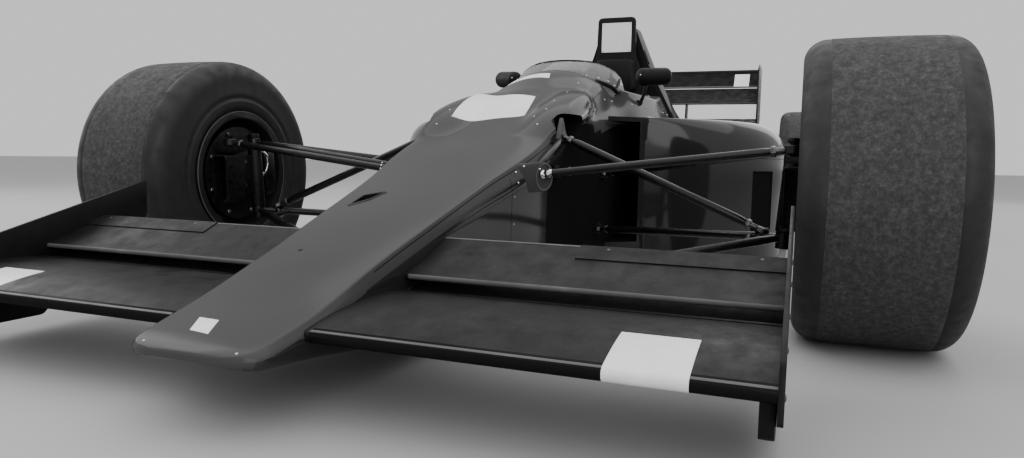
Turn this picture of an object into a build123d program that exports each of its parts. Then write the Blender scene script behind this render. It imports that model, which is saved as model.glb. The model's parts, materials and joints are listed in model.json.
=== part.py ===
from build123d import *
import os
from math import asin, cos, radians, sin, sqrt

# An open-wheel racing car of the late 1980s, at full size, in millimetres.
# Lengths along the car (x) are measured from the front axle, positive forward; y is the
# car's left and z is up from the ground. save() moves x to the frame's own origin, which is
# the bottom centre of the car's box.

# Driving dimensions of the whole car
WHEELBASE = 2800.0
LENGTH = 4280.0
FRONT_OVERHANG = 975.0
FRONT_AXLE_X = LENGTH / 2 - FRONT_OVERHANG
FRONT_TRACK = 1796.0
REAR_TRACK = 1664.0
FRONT_WHEEL_Y = FRONT_TRACK / 2
REAR_WHEEL_Y = REAR_TRACK / 2
REAR_AXLE = -WHEELBASE
TAIL = FRONT_OVERHANG - LENGTH

# Clearances, seats, and how far a cutting shape reaches past what it cuts
RUNNING = 0.05
FACE_GAP = 0.3
SEAT = 12.0
BEYOND = 1200.0

# Tyres
FRONT_TYRE_RADIUS = 317.5
FRONT_TYRE_WIDTH = 305.0
REAR_TYRE_RADIUS = 330.0
REAR_TYRE_WIDTH = 385.0
SHOULDER = 46.0
SHOULDER_ROUND = 30.0
SIDEWALL_START = 26.0
SIDEWALL_ROUND = 12.0
FLANGE_CLEAR = 3.0
BEAD_ROUND = 0.5

# Rims, hubs and brake covers
BEAD_RADIUS = 165.0
FLANGE_RADIUS = 176.0
FLANGE_WIDTH = 7.0
BEAD_STEP = 10.0
BARREL_WALL = 9.0
DISC_THICK = 16.0
DISC_OVERLAP = 2.0
SPOKES = 5
WINDOW_RADIUS = 33.0
WINDOW_AT = 102.0
HUB_RADIUS = 46.0
NUT_RADIUS = 34.0
NUT_LENGTH = 22.0
SPINDLE_RADIUS = 25.0
SPINDLE_START = 20.0
SPINDLE_REACH = 60.0
FRONT_DISC_AT = 60.0
FRONT_HUB_SPAN = (-60.0, 76.0)
REAR_DISC_AT = 90.0
REAR_HUB_SPAN = (20.0, 106.0)
COVER_RADIUS = 132.0
COVER_THICK = 26.0

# Chassis heights
FLOOR_BOTTOM = 40.0
FLOOR_THICK = 12.0
FLOOR_TOP = FLOOR_BOTTOM + FLOOR_THICK
POD_TOP = 505.0

# Body sections, from the nose tip back.
# Columns: x, half width and height of the top edge, of the side, of the bottom edge,
# corner radius, rise of the crown between the top edges
BODY_SECTIONS = [
    (FRONT_OVERHANG, 66, 109, 74, 102, 66, 94, 3, 2),
    (963, 95, 115, 105, 104, 95, 90, 4, 3),
    (935, 106, 126, 117, 110, 107, 88, 5, 3),
    (830, 112, 152, 123, 134, 114, 82, 8, 4),
    (700, 114, 194, 125, 168, 118, 66, 10, 5),
    (520, 126, 252, 137, 222, 130, 52, 12, 6),
    (300, 144, 322, 157, 286, 152, FLOOR_TOP, 14, 7),
    (80, 172, 396, 188, 352, 184, FLOOR_TOP, 16, 10),
    (-100, 172, 456, 197, 400, 195, FLOOR_TOP, 18, 22),
    (-350, 158, 537, 202, 450, 202, FLOOR_TOP, 20, 46),
    (-600, 150, 612, 212, 500, 212, FLOOR_TOP, 26, 48),
    (-840, 208, 604, 242, 520, 236, FLOOR_TOP, 24, 20),
    (-1100, 226, 606, 258, 520, 248, FLOOR_TOP, 24, 16),
    (-1425, 190, 640, 250, 520, 240, FLOOR_TOP, 24, 10),
]
BULKHEAD_REAR = BODY_SECTIONS[-1][0]
NOSE_JOINT = 320.0

# The nose's cover reaches back over the tub to the screen: its seam runs just under the top
# edges, which rise along a line through two heights
COVER_LINE = ((930.0, 127.0), (-100.0, 456.0))
COVER_REAR = -600.0
COVER_DEPTH = 14.0

# Cockpit opening and footwell
COCKPIT_OUTLINE = [(-640, 110), (-770, 150), (-1130, 196), (-1370, 150)]
COCKPIT_FLOOR = 92.0
COCKPIT_TOP = 760.0
FOOTWELL_FRONT = -260.0
FOOTWELL_REAR = -700.0
FOOTWELL_HALF = 135.0
FOOTWELL_TOP = 400.0

# Blisters over the front rockers, each turned about a rising axis from front to rear (x, z),
# and the openings that the pushrods enter
BLISTER_FRONT = (5.0, 432.0)
BLISTER_REAR = (-420.0, 545.0)
BLISTER_FULL = 110.0
BLISTER_RADIUS = 52.0
BLISTER_Y = 148.0
POCKET_OUTLINE = [(-22, 412), (-150, 412), (-202, 462), (-196, 490), (-80, 490), (-34, 466)]
POCKET_ROUND = 12.0
POCKET_WALL = 150.0
ROCKER_SPAN = (-112.0, -60.0)
ROCKER_THICK = 18.0
ROCKER_TOP = 470.0

# A small three-cornered inlet in the cover, in plan, and its depth
INLET_OUTLINE = [(458, -89), (400, -88), (382, -44), (426, -58)]
INLET_DEPTH = 12.0

# Front suspension points, car's left side: (x, y, z)
KINGPIN_X = -30.0
KINGPIN_LOW = (KINGPIN_X, FRONT_WHEEL_Y - 176, 212.0)
KINGPIN_HIGH = (KINGPIN_X, FRONT_WHEEL_Y - 162, 405.0)
FRONT_UPPER_FRONT = (10.0, 150.0, 336.0)
FRONT_UPPER_REAR = (-440.0, 190.0, 330.0)
FRONT_LOWER_FRONT = (285.0, 138.0, 104.0)
FRONT_LOWER_REAR = (-390.0, 190.0, 172.0)
FRONT_ROCKER = (-86.0, POCKET_WALL - SEAT, 455.0)
FRONT_PUSH_FOOT = (-58.0, FRONT_WHEEL_Y - 222, 222.0)
ARM_RADIUS = 13.0
PUSHROD_RADIUS = 12.0
EYE_RADIUS = 17.0
EYE_HALF = 12.0
EYE_CLEAR_RADIUS = 60.0
EYE_CLEAR_HEIGHT = 30.0
KINGPIN_RADIUS = 8.0
KINGPIN_CAP = 14.0
KINGPIN_CAP_RADIUS = 15.0
COLUMN_RADIUS = 19.0

# The knuckle's web, and its cooling scoop: x from and to, z from and to, wall
WEB_X = (-48.0, 34.0)
WEB_DROP = 62.0
WEB_RISE = 50.0
WEB_INNER = FRONT_WHEEL_Y - 170
WEB_OVERLAP = 4.0
SCOOP_X = (30.0, 104.0)
SCOOP_Z = (238.0, 368.0)
SCOOP_INNER = FRONT_WHEEL_Y - 182
SCOOP_WALL = 5.0
SCOOP_DEEP = 60.0

# Steering
STEER_ARM = (70.0, FRONT_WHEEL_Y - 164, 404.0)
STEER_ARM_HALF = 16.0
STEER_ARM_EDGE = 14.0
STEER_ARM_ROOT = 10.0
STEER_ARM_THICK = 14.0
STEER_PIN = 6.0
STEER_CAP = 8.0
ROD_EYE = 18.0
ROD_EYE_BORE = 11.0
ROD_EYE_HALF = 9.0
ROD_EYE_GAP = 6.0
ROD_RADIUS = 9.0
RACK_X = 95.0
RACK_Z = 334.0
RACK_RADIUS = 14.0
RACK_HALF = 150.0
RACK_ROD_OVERLAP = 4.0
RACK_MOUTH = 105.0
BOSS_ROOT = 150.0
BOSS_RADIUS = 40.0
BOSS_BORE = 29.0
BOSS_OUT = 10.0
WHEEL_CENTRE = (-800.0, 0.0, 545.0)
WHEEL_RIM_RADIUS = 128.0
WHEEL_GRIP = 12.0
WHEEL_BAR = 22.0
WHEEL_BAR_THICK = 10.0
WHEEL_PAD_RADIUS = 38.0
WHEEL_PAD_HALF = 12.0
WHEEL_TILT = 16.0
COLUMN_SHAFT = 12.0
COLUMN_REACH = 300.0
COLUMN_END_GAP = 2.0

# Rear suspension points, car's left side
REAR_UPPER_OUT = (REAR_AXLE, REAR_WHEEL_Y - 210, 446.0)
REAR_LOWER_OUT = (REAR_AXLE, REAR_WHEEL_Y - 210, 214.0)
REAR_UPPER_FRONT = (REAR_AXLE + 210, 92.0, 428.0)
REAR_UPPER_REAR = (REAR_AXLE - 185, 60.0, 412.0)
REAR_LOWER_FRONT = (REAR_AXLE + 280, 95.0, 170.0)
REAR_LOWER_REAR = (REAR_AXLE - 185, 60.0, 238.0)
REAR_ROCKER = (REAR_AXLE + 145, 82.0, 428.0)
REAR_PUSH_FOOT = (REAR_AXLE + 56, REAR_WHEEL_Y - 272, 240.0)
REAR_PUSH_ROOT = (REAR_AXLE + 20, REAR_WHEEL_Y - 242, 213.0)
AXLE_RADIUS = 20.0
CV_RADIUS = 48.0
CV_LENGTH = 62.0
CV_START = 99.0
CV_GAP = 6.0
SHAFT_IN_CASE = 50.0
UPRIGHT_HALF = 42.0
UPRIGHT_RISE = 134.0
UPRIGHT_INNER = REAR_WHEEL_Y - 226
UPRIGHT_OUTER = REAR_WHEEL_Y - 168

# Power unit: a plain block for the engine, then the gearbox
ENGINE_HALF = 168.0
ENGINE_LOW = 62.0
ENGINE_HIGH = 470.0
# Columns: distance ahead of the rear axle, half width, low z, high z
GEARBOX_SECTIONS = [
    (855, 150, 92, 430),
    (420, 118, 120, 440),
    (-60, 92, 190, 450),
    (-280, 76, 232, 430),
]
ENGINE_REAR = REAR_AXLE + GEARBOX_SECTIONS[0][0]
STARTER_RADIUS = 14.0
STARTER_DEPTH = 60.0
STARTER_Z = 330.0

# Where pieces end, ahead of the rear axle or behind it
POD_TAPER_AHEAD = 950.0
POD_REAR_AHEAD = 450.0
FLOOR_REAR_AHEAD = 350.0
COVER_REAR_AHEAD = 180.0
DIFFUSER_BEHIND = 200.0

# Side pods. The mouth is swept back from the tub to the lip
LIP_ROOT_X = -470.0
LIP_X = -550.0
LIP_Y = 305.0
MOUTH_CUT = 40.0
POD_HALF = 700.0
POD_FULL_X = -1000.0
POD_TAPER_X = REAR_AXLE + POD_TAPER_AHEAD
POD_REAR = REAR_AXLE + POD_REAR_AHEAD
POD_TAPER_RADIUS = 700.0
POD_WALL = 14.0
POD_INNER = 178.0
# Where the middle of the nose of the pod lies on its arc, in degrees from its side
POD_MID_TURN = 40.0
# The rounded top edge. Columns: drop below the top, inset from the side
POD_ROUNDING = [(100, 0), (50, 14), (15, 46), (0, 100)]
DUCT_LOW = 124.0
RADIATOR_X = -1180.0
RADIATOR_THICK = 60.0
RADIATOR_SLANT = 130.0
RADIATOR_INNER = 262.0
RADIATOR_OUTER = 676.0
RADIATOR_DROP = 90.0

# Floor
FLOOR_FRONT = -330.0
FLOOR_FRONT_HALF = 180.0
FLOOR_REAR = REAR_AXLE + FLOOR_REAR_AHEAD
FLOOR_LIP = 20.0
FLOOR_TAIL_HALF = 560.0
FLOOR_TAIL_OVERLAP = 10.0

# Engine cover sections. Columns as for the body
COVER_SECTIONS = [
    (BULKHEAD_REAR, 64, 936, 108, 790, 264, POD_TOP, 10, 14),
    (-1600, 62, 945, 130, 785, 266, POD_TOP, 10, 18),
    (-1760, 56, 880, 118, 735, 264, POD_TOP, 10, 16),
    (-2150, 52, 690, 108, 620, 250, POD_TOP, 10, 12),
    (REAR_AXLE + COVER_REAR_AHEAD, 52, 556, 104, 540, 176, POD_TOP, 8, 6),
]

# Headrest panel, in front view: columns half width, z
HEAD_THICK = 18.0
HEAD_TOP = 975.0
HEAD_OUTLINE = [(136, 642), (108, 756), (84, 812), (80, HEAD_TOP)]

# Windscreen rows: apex x, half width, end x, height; and its top edge in side view
SCREEN_ROWS = [
    (-500.0, 178.0, -810.0, 580.0),
    (-610.0, 172.0, -860.0, 668.0),
    (-695.0, 136.0, -880.0, 716.0),
]
SCREEN_TURN = 0.9
SCREEN_THICK = 5.0
SCREEN_CUT = [
    (-600, 705), (-650, 704), (-690, 694), (-720, 666), (-745, 638), (-800, 600), (-1000, 590),
    (-1000, 800), (-600, 800),
]

# Mirrors, left side
MIRROR_IN = (-816.0, 217.5, 656.0)
MIRROR_OUT = (-891.0, 318.5, 666.0)
MIRROR_RADIUS = 30.0
STALK_RADIUS = 7.0
STALK_FOOT = (-845.0, 222.0, 557.0)
STALK_AT = 0.3

# Seat, in side view
SEAT_OUTLINE = [
    (-760, COCKPIT_FLOOR), (-760, 128), (-1120, 128), (-1290, 560), (-1330, 560), (-1330, 470),
    (-1200, COCKPIT_FLOOR),
]
SEAT_HALF = 142.0

# Wing planes' sections, as shares of thickness and chord
NOSE_SHARE = 0.35
NOSE_HEIGHT = 0.36
CAMBER_AT = 0.45
EDGE_HALF = 1.0

# Front wing. Planes: nose and tail (x, z), thickness, camber
WING_HALF = 737.0
WING_PLANE = ((873.0, 124.0), (598.0, 147.0), 26.0, 6.0)
FLAP_PLANE = ((612.0, 171.0), (476.0, 226.0), 14.0, -6.0)
PLATE_THICK = 7.0
FRONT_PLATE = [
    (884, 96), (864, 160), (709, 209), (352, 305), (352, 226), (420, 70), (620, 40), (850, 34),
]
FENCE_INSET = 32.0
FENCE_Y = WING_HALF - FENCE_INSET
FENCE_OUTLINE = [(842, 117), (842, 48), (800, 30), (640, 30), (610, 60), (610, 138)]

# Rear wing planes by node, as for the front wing, and the endplate, with x from the tail.
# The posts' heads are measured from the tail and their feet from the rear axle
REAR_WING_HALF = 494.0
REAR_PLANES = {
    "rear_wing_main": ((295.0, 724.0), (128.0, 830.0), 24.0, -14.0),
    "rear_wing_flap": ((115.0, 838.0), (20.0, 944.0), 14.0, -8.0),
    "rear_beam_wing": ((285.0, 606.0), (125.0, 640.0), 16.0, -10.0),
}
REAR_PLATE = [(355, 640), (335, 930), (245, 962), (0, 962), (0, 640), (105, 590), (305, 590)]
POST_Y = 66.0
POST_THICK = 8.0
POST_HEAD = [(245, 740), (160, 800), (185, 600)]
POST_FOOT = [(-275, 380), (-220, 380)]

# Diffuser and exhausts
DIFFUSER_TAIL = REAR_AXLE - DIFFUSER_BEHIND
DIFFUSER_RISE = 150.0
DIFFUSER_HALF = 470.0
DIFFUSER_THICK = 10.0
FENCES = (-330.0, -165.0, 165.0, 330.0)
FENCE_THICK = 8.0
FENCE_START = 20.0
FENCE_LOW = (44.0, 80.0)
FENCE_HIGH = 48.0
FENCE_OVERLAP = 2.0
EXHAUST_RADIUS = 34.0
EXHAUST_WALL = 3.0
EXHAUST_Y = 250.0
EXHAUST_Z = 262.0
EXHAUST_ROOT_AHEAD = 110.0
EXHAUST_ROOT_X = ENGINE_REAR + EXHAUST_ROOT_AHEAD
EXHAUST_ROOT_IN = 10.0
EXHAUST_REAR = REAR_AXLE + COVER_REAR_AHEAD
EXHAUST_DEEP = 200.0


def rod(start, end, radius):
    """A round bar from one point to another."""
    span = Vector(*end) - Vector(*start)
    seat = (Align.CENTER, Align.CENTER, Align.MIN)
    return Plane(origin=start, z_dir=span) * Cylinder(radius, span.length, align=seat)


def prism(corners, way):
    """A flat outline of 3-D corners, pushed along a vector."""
    return extrude(make_face(Polyline(*corners, close=True)), amount=Vector(*way).length, dir=way)


def side_plate(outline, y_from, y_to):
    """An outline of (x, z) corners, from one y to another."""
    return prism([(x, y_from, z) for x, z in outline], (0, y_to - y_from, 0))


def plan_plate(outline, z_from, z_to):
    """An outline of (x, y) corners, from one height to another."""
    return prism([(x, y, z_from) for x, y in outline], (0, 0, z_to - z_from))


def box(x_from, x_to, y_from, y_to, z_from, z_to):
    """A box between its limits."""
    corners = [(x_from, y_from), (x_to, y_from), (x_to, y_to), (x_from, y_to)]
    return plan_plate(corners, z_from, z_to)


def mirrored(shape):
    """The same shape on the car's right."""
    return mirror(shape, about=Plane.XZ)


def both(shape):
    """A shape on the car's left with its mirror image."""
    return shape + mirrored(shape)


def joined(*shapes):
    """One compound or solid from several shapes."""
    whole = shapes[0]
    for shape in shapes[1:]:
        whole = whole + shape
    return whole


def save(node, shape):
    """Move a piece to the frame's origin and write it."""
    placed = Pos(FRONT_AXLE_X, 0, 0) * shape
    solids = placed.solids()
    export_step(solids[0] if len(solids) == 1 else Compound(children=solids), f"parts/{node}.step")
    print(node, len(solids), round(sum(s.volume for s in solids) / 1e3), "cm3")


def save_sides(node, shape):
    """Write a piece for the left, and its mirror image for the right."""
    save(f"{node}_left", shape)
    save(f"{node}_right", mirrored(shape))


def body_loft(sections):
    """A ruled body through closed sections with a crowned top."""
    wires = []
    for x, top, z_top, side, z_side, low, z_low, corner, crown in sections:
        left = [(x, top, z_top), (x, side, z_side), (x, low, z_low)]
        points = left + [(x, -y, z) for x, y, z in reversed(left)]
        skirt = FilletPolyline(*points, radius=corner)
        roof = ThreePointArc(points[-1], (x, 0, z_top + crown), points[0])
        wires.append(Wire(skirt.edges() + roof.edges()))
    return Solid.make_loft(wires, ruled=True)


def side_half(x):
    """Half width of the body's side at a station."""
    for ahead, behind in zip(BODY_SECTIONS, BODY_SECTIONS[1:]):
        if behind[0] <= x <= ahead[0]:
            share = (ahead[0] - x) / (ahead[0] - behind[0])
            return ahead[3] + (behind[3] - ahead[3]) * share
    return BODY_SECTIONS[-1][3]


def cover_height(x):
    """Height of the line of the nose's top edges at a station."""
    (x_front, z_front), (x_back, z_back) = COVER_LINE
    return z_front + (z_back - z_front) * (x_front - x) / (x_front - x_back)


def cover_region():
    """The wedge of space above the cover's seam."""
    outline = [(x, cover_height(x) - COVER_DEPTH) for x in (BEYOND, COVER_REAR)]
    outline += [(COVER_REAR, BEYOND), (BEYOND, BEYOND)]
    return side_plate(outline, -BEYOND, BEYOND)


def blister():
    """The left blister over a front rocker, turned about its axis."""
    front = Vector(BLISTER_FRONT[0], BLISTER_Y, BLISTER_FRONT[1])
    rear = Vector(BLISTER_REAR[0], BLISTER_Y, BLISTER_REAR[1])
    along = (rear - front).normalized()
    up = Vector(along.Z, 0, -along.X)
    full = front + along * BLISTER_FULL + up * BLISTER_RADIUS
    arcs = []
    for end, reach in ((front, -BLISTER_FULL), (rear, (rear - front).length - BLISTER_FULL)):
        radius = (reach ** 2 + BLISTER_RADIUS ** 2) / (2 * BLISTER_RADIUS)
        turn = asin(reach / radius) / 2
        middle = full - up * radius + up * (radius * cos(turn)) + along * (radius * sin(turn))
        arcs.append(ThreePointArc(end, middle, full))
    face = make_face([arc.edges()[0] for arc in arcs] + [Line(rear, front).edges()[0]])
    return revolve(face, axis=Axis(front, along))


def cockpit_space():
    """The driver's opening, with the footwell ahead of it."""
    outline = COCKPIT_OUTLINE + [(x, -y) for x, y in reversed(COCKPIT_OUTLINE)]
    opening = plan_plate(outline, COCKPIT_FLOOR, COCKPIT_TOP)
    footwell = box(
        FOOTWELL_FRONT, FOOTWELL_REAR, -FOOTWELL_HALF, FOOTWELL_HALF, COCKPIT_FLOOR, FOOTWELL_TOP
    )
    return opening + footwell


def rack_space():
    """The bore through the nose for the rack, wider at each end for the track rods."""
    bore = rod((RACK_X, -BEYOND, RACK_Z), (RACK_X, BEYOND, RACK_Z), RACK_RADIUS + RUNNING)
    mouth = rod((RACK_X, RACK_MOUTH, RACK_Z), (RACK_X, BEYOND, RACK_Z), BOSS_BORE)
    return bore + both(mouth)


def pocket_space():
    """The left opening that a pushrod enters."""
    corners = [(x, POCKET_WALL, z) for x, z in POCKET_OUTLINE]
    face = make_face(FilletPolyline(*corners, radius=POCKET_ROUND, close=True))
    return extrude(face, amount=BEYOND, dir=(0, 1, 0))


def inlet_space():
    """The small inlet sunk into the cover."""
    corners = [(x, y, cover_height(x) - INLET_DEPTH) for x, y in INLET_OUTLINE]
    return prism(corners, (0, 0, BEYOND))


def boss():
    """The round boss that a track rod leaves, on the left side."""
    end = side_half(RACK_X) + BOSS_OUT
    return rod((RACK_X, BOSS_ROOT, RACK_Z), (RACK_X, end, RACK_Z), BOSS_RADIUS)


def column_axis():
    """Unit vector forward along the steering column."""
    return Vector(cos(radians(WHEEL_TILT)), 0, -sin(radians(WHEEL_TILT)))


def column_space():
    """The blind bore in the dash bulkhead that holds the steering column."""
    centre = Vector(*WHEEL_CENTRE)
    return rod(centre, centre + column_axis() * COLUMN_REACH, COLUMN_SHAFT + RUNNING)


def body_pieces():
    """The nose with its long cover, and the hollow tub."""
    body = body_loft(BODY_SECTIONS) + both(blister()) + both(boss())
    region = cover_region()
    ahead = box(NOSE_JOINT, BEYOND, -BEYOND, BEYOND, 0, BEYOND)
    pockets = both(pocket_space())
    nose = (body & (region + ahead)) - pockets - inlet_space()
    tub = body - region - ahead - pockets
    return nose, tub - cockpit_space() - rack_space() - column_space()


def steering_wheel():
    """Rim, two spokes and the column behind them."""
    plane = Plane(origin=WHEEL_CENTRE, z_dir=column_axis())
    ring = plane * Torus(WHEEL_RIM_RADIUS, WHEEL_GRIP)
    bar = plane * Box(WHEEL_BAR, 2 * WHEEL_RIM_RADIUS, WHEEL_BAR_THICK)
    centre = Vector(*WHEEL_CENTRE)
    axis = column_axis()
    pad = rod(centre - axis * WHEEL_PAD_HALF, centre + axis * WHEEL_PAD_HALF, WHEEL_PAD_RADIUS)
    shaft = rod(centre, centre + axis * (COLUMN_REACH - COLUMN_END_GAP), COLUMN_SHAFT)
    return joined(ring, bar, pad, shaft)


def screen_wall(inset):
    """The space inside the screen's outer face, set in."""
    wires = []
    for apex, half, end, z in SCREEN_ROWS:
        half = half - inset
        apex = apex - inset
        turn = apex - half * SCREEN_TURN
        edges = [
            Line((end, half, z), (turn, half, z)),
            ThreePointArc((turn, half, z), (apex, 0, z), (turn, -half, z)),
            Line((turn, -half, z), (end, -half, z)),
            Line((end, -half, z), (end, half, z)),
        ]
        wires.append(Wire([edge.edges()[0] for edge in edges]))
    return Solid.make_loft(wires, ruled=True)


def windscreen(nose, tub):
    """The tinted screen that wraps round the front of the cockpit."""
    shell = screen_wall(0) - screen_wall(SCREEN_THICK)
    return shell - side_plate(SCREEN_CUT, -BEYOND, BEYOND) - tub - nose


def mirror_piece(tub):
    """A left mirror on its stalk."""
    pod = rod(MIRROR_IN, MIRROR_OUT, MIRROR_RADIUS)
    top = tuple(a + (b - a) * STALK_AT for a, b in zip(MIRROR_IN, MIRROR_OUT))
    return pod + (rod(STALK_FOOT, top, STALK_RADIUS) - tub)


def headrest(tub):
    """The upright panel behind the driver's head."""
    left = [(BULKHEAD_REAR, y, z) for y, z in HEAD_OUTLINE]
    corners = left + [(x, -y, z) for x, y, z in reversed(left)]
    return prism(corners, (HEAD_THICK, 0, 0)) - tub


def from_line(x_zero, outline):
    """An outline with its x counted from a line across the car."""
    return [(x_zero + x, z) for x, z in outline]


def pod_inner_line(shift, front):
    """Corners of the pod's inner edge in plan, from its tail to its front, moved in by a shift."""
    corners = [(POD_REAR, POD_INNER - shift), (BULKHEAD_REAR, POD_INNER - shift)]
    stations = [row[0] for row in reversed(BODY_SECTIONS) if BULKHEAD_REAR < row[0] < front]
    stations = [BULKHEAD_REAR] + stations + [front]
    return corners + [(x, side_half(x) + FACE_GAP - shift) for x in stations]


def pod_outline(inset, lip_inset, shift, ahead=0):
    """Left pod in plan, as a closed wire, set in from its outer line, its lip and its inner edge,
    its mouth moved ahead."""
    full = POD_HALF - inset
    lip_y = LIP_Y - lip_inset
    radius = LIP_X - POD_FULL_X
    bow = (radius ** 2 + (full - lip_y) ** 2) / (2 * (full - lip_y))
    half_turn = radians(POD_MID_TURN)
    middle = (POD_FULL_X + bow * sin(half_turn), full - bow + bow * cos(half_turn))
    taper = POD_TAPER_RADIUS - inset
    run = POD_TAPER_X - POD_REAR
    rear_y = POD_HALF - POD_TAPER_RADIUS + sqrt(taper ** 2 - run ** 2)
    mid_y = POD_HALF - POD_TAPER_RADIUS + sqrt(taper ** 2 - (run / 2) ** 2)
    inner = pod_inner_line(shift, LIP_ROOT_X + ahead)
    edges = [
        ThreePointArc((LIP_X, lip_y), middle, (POD_FULL_X, full)),
        Line((POD_FULL_X, full), (POD_TAPER_X, full)),
        ThreePointArc((POD_TAPER_X, full), (POD_TAPER_X - run / 2, mid_y), (POD_REAR, rear_y)),
        Line((POD_REAR, rear_y), inner[0]),
    ]
    corners = inner + [(LIP_X + ahead, lip_y)] * bool(ahead) + [(LIP_X, lip_y)]
    edges += [Line(start, end) for start, end in zip(corners, corners[1:])]
    return Wire([edge.edges()[0] for edge in edges])


def pod_solid(wall, low, high, shift, ahead=0):
    """The pod's space between two heights, set in by a wall, its outer top edge rounded."""
    levels = [(low, 0)] + [(high - drop, inset) for drop, inset in POD_ROUNDING]
    wires = [Pos(0, 0, z) * pod_outline(wall + inset, wall, shift, ahead) for z, inset in levels]
    return Solid.make_loft(wires, ruled=True)


def side_pod():
    """The left pod: a hollow duct from the inlet to the tail."""
    outer = pod_solid(0, FLOOR_TOP, POD_TOP, 0)
    duct = pod_solid(POD_WALL, DUCT_LOW, POD_TOP - POD_WALL, SEAT, MOUTH_CUT)
    return outer - duct


def radiator():
    """The left radiator, slanted across the duct."""
    back = RADIATOR_X - RADIATOR_THICK
    outline = [
        (RADIATOR_X, RADIATOR_INNER), (RADIATOR_X - RADIATOR_SLANT, RADIATOR_OUTER),
        (back - RADIATOR_SLANT, RADIATOR_OUTER), (back, RADIATOR_INNER),
    ]
    return plan_plate(outline, DUCT_LOW, POD_TOP - POD_WALL - RADIATOR_DROP)


def floor_plate():
    """The flat floor under the tub, pods and engine."""
    outline = Pos(0, 0, FLOOR_BOTTOM) * pod_outline(-FLOOR_LIP, -FLOOR_LIP, SEAT)
    left = extrude(Face(outline), amount=FLOOR_THICK, dir=(0, 0, 1))
    half = FLOOR_FRONT_HALF
    middle = box(FLOOR_FRONT, FLOOR_REAR, -half, half, FLOOR_BOTTOM, FLOOR_TOP)
    start = POD_REAR + FLOOR_TAIL_OVERLAP
    tail = box(start, FLOOR_REAR, -FLOOR_TAIL_HALF, FLOOR_TAIL_HALF, FLOOR_BOTTOM, FLOOR_TOP)
    return joined(middle, both(left), tail)


def diffuser():
    """The upswept tunnel behind the floor, with its fences."""
    low = FLOOR_BOTTOM
    high = FLOOR_BOTTOM + DIFFUSER_THICK
    outline = [
        (FLOOR_REAR, low), (FLOOR_REAR, high),
        (DIFFUSER_TAIL, high + DIFFUSER_RISE), (DIFFUSER_TAIL, low + DIFFUSER_RISE),
    ]
    whole = side_plate(outline, -DIFFUSER_HALF, DIFFUSER_HALF)
    start = FLOOR_REAR - FENCE_START
    fence = [
        (start, FENCE_LOW[0]), (start, FENCE_HIGH),
        (DIFFUSER_TAIL, low + DIFFUSER_RISE + FENCE_OVERLAP), (DIFFUSER_TAIL, FENCE_LOW[1]),
    ]
    for y in FENCES:
        whole = whole + side_plate(fence, y - FENCE_THICK / 2, y + FENCE_THICK / 2)
    return whole


def gearbox():
    """The gearbox, with the axles' bore and the starter's socket in its tail."""
    wires = []
    for ahead, half, low, high in GEARBOX_SECTIONS:
        x = REAR_AXLE + ahead
        corners = [(x, -half, low), (x, half, low), (x, half, high), (x, -half, high)]
        wires.append(Wire(Polyline(*corners, close=True).edges()))
    case = Solid.make_loft(wires, ruled=True)
    tail = REAR_AXLE + GEARBOX_SECTIONS[-1][0]
    z = REAR_TYRE_RADIUS
    bore = rod((REAR_AXLE, -BEYOND, z), (REAR_AXLE, BEYOND, z), AXLE_RADIUS + RUNNING)
    socket = rod((tail - SEAT, 0, STARTER_Z), (tail + STARTER_DEPTH, 0, STARTER_Z), STARTER_RADIUS)
    return case - bore - socket


def exhaust(engine):
    """The left tailpipe."""
    knee = (EXHAUST_ROOT_X, EXHAUST_Y, EXHAUST_Z)
    root = (EXHAUST_ROOT_X, ENGINE_HALF - EXHAUST_ROOT_IN, EXHAUST_Z)
    end = (EXHAUST_REAR, EXHAUST_Y, EXHAUST_Z)
    deep = (EXHAUST_REAR + EXHAUST_DEEP, EXHAUST_Y, EXHAUST_Z)
    elbow = Pos(*knee) * Sphere(EXHAUST_RADIUS)
    pipe = joined(rod(root, knee, EXHAUST_RADIUS), rod(knee, end, EXHAUST_RADIUS), elbow)
    return pipe - rod(end, deep, EXHAUST_RADIUS - EXHAUST_WALL) - engine


def aerofoil(plane, half):
    """A wing plane with a round nose, its tips at plus and minus a half span."""
    nose, tail, thick, camber = plane
    tip = Vector(nose[0], -half, nose[1])
    end = Vector(tail[0], -half, tail[1])
    along = (end - tip).normalized()
    up = Vector(along.Z, 0, -along.X)
    ahead = tip + along * (thick * NOSE_SHARE)
    top = ahead + up * (thick * NOSE_HEIGHT)
    low = ahead - up * (thick * NOSE_HEIGHT)
    middle = tip + (end - tip) * CAMBER_AT + up * camber
    edge = up * EDGE_HALF
    edges = [
        ThreePointArc(low, tip, top),
        ThreePointArc(top, middle + up * (thick / 2), end + edge),
        Line(end + edge, end - edge),
        ThreePointArc(end - edge, middle - up * (thick / 2), low),
    ]
    face = make_face([line.edges()[0] for line in edges])
    return extrude(face, amount=2 * half, dir=(0, 1, 0))


def kingpin_length():
    """Distance between the knuckle's two joints."""
    return (Vector(*KINGPIN_HIGH) - Vector(*KINGPIN_LOW)).length


def kingpin_bar(start, end, radius):
    """A round bar on the left kingpin's axis, between two distances from the lower joint."""
    foot = Vector(*KINGPIN_LOW)
    axis = (Vector(*KINGPIN_HIGH) - foot).normalized()
    return rod(tuple(foot + axis * start), tuple(foot + axis * end), radius)


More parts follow.
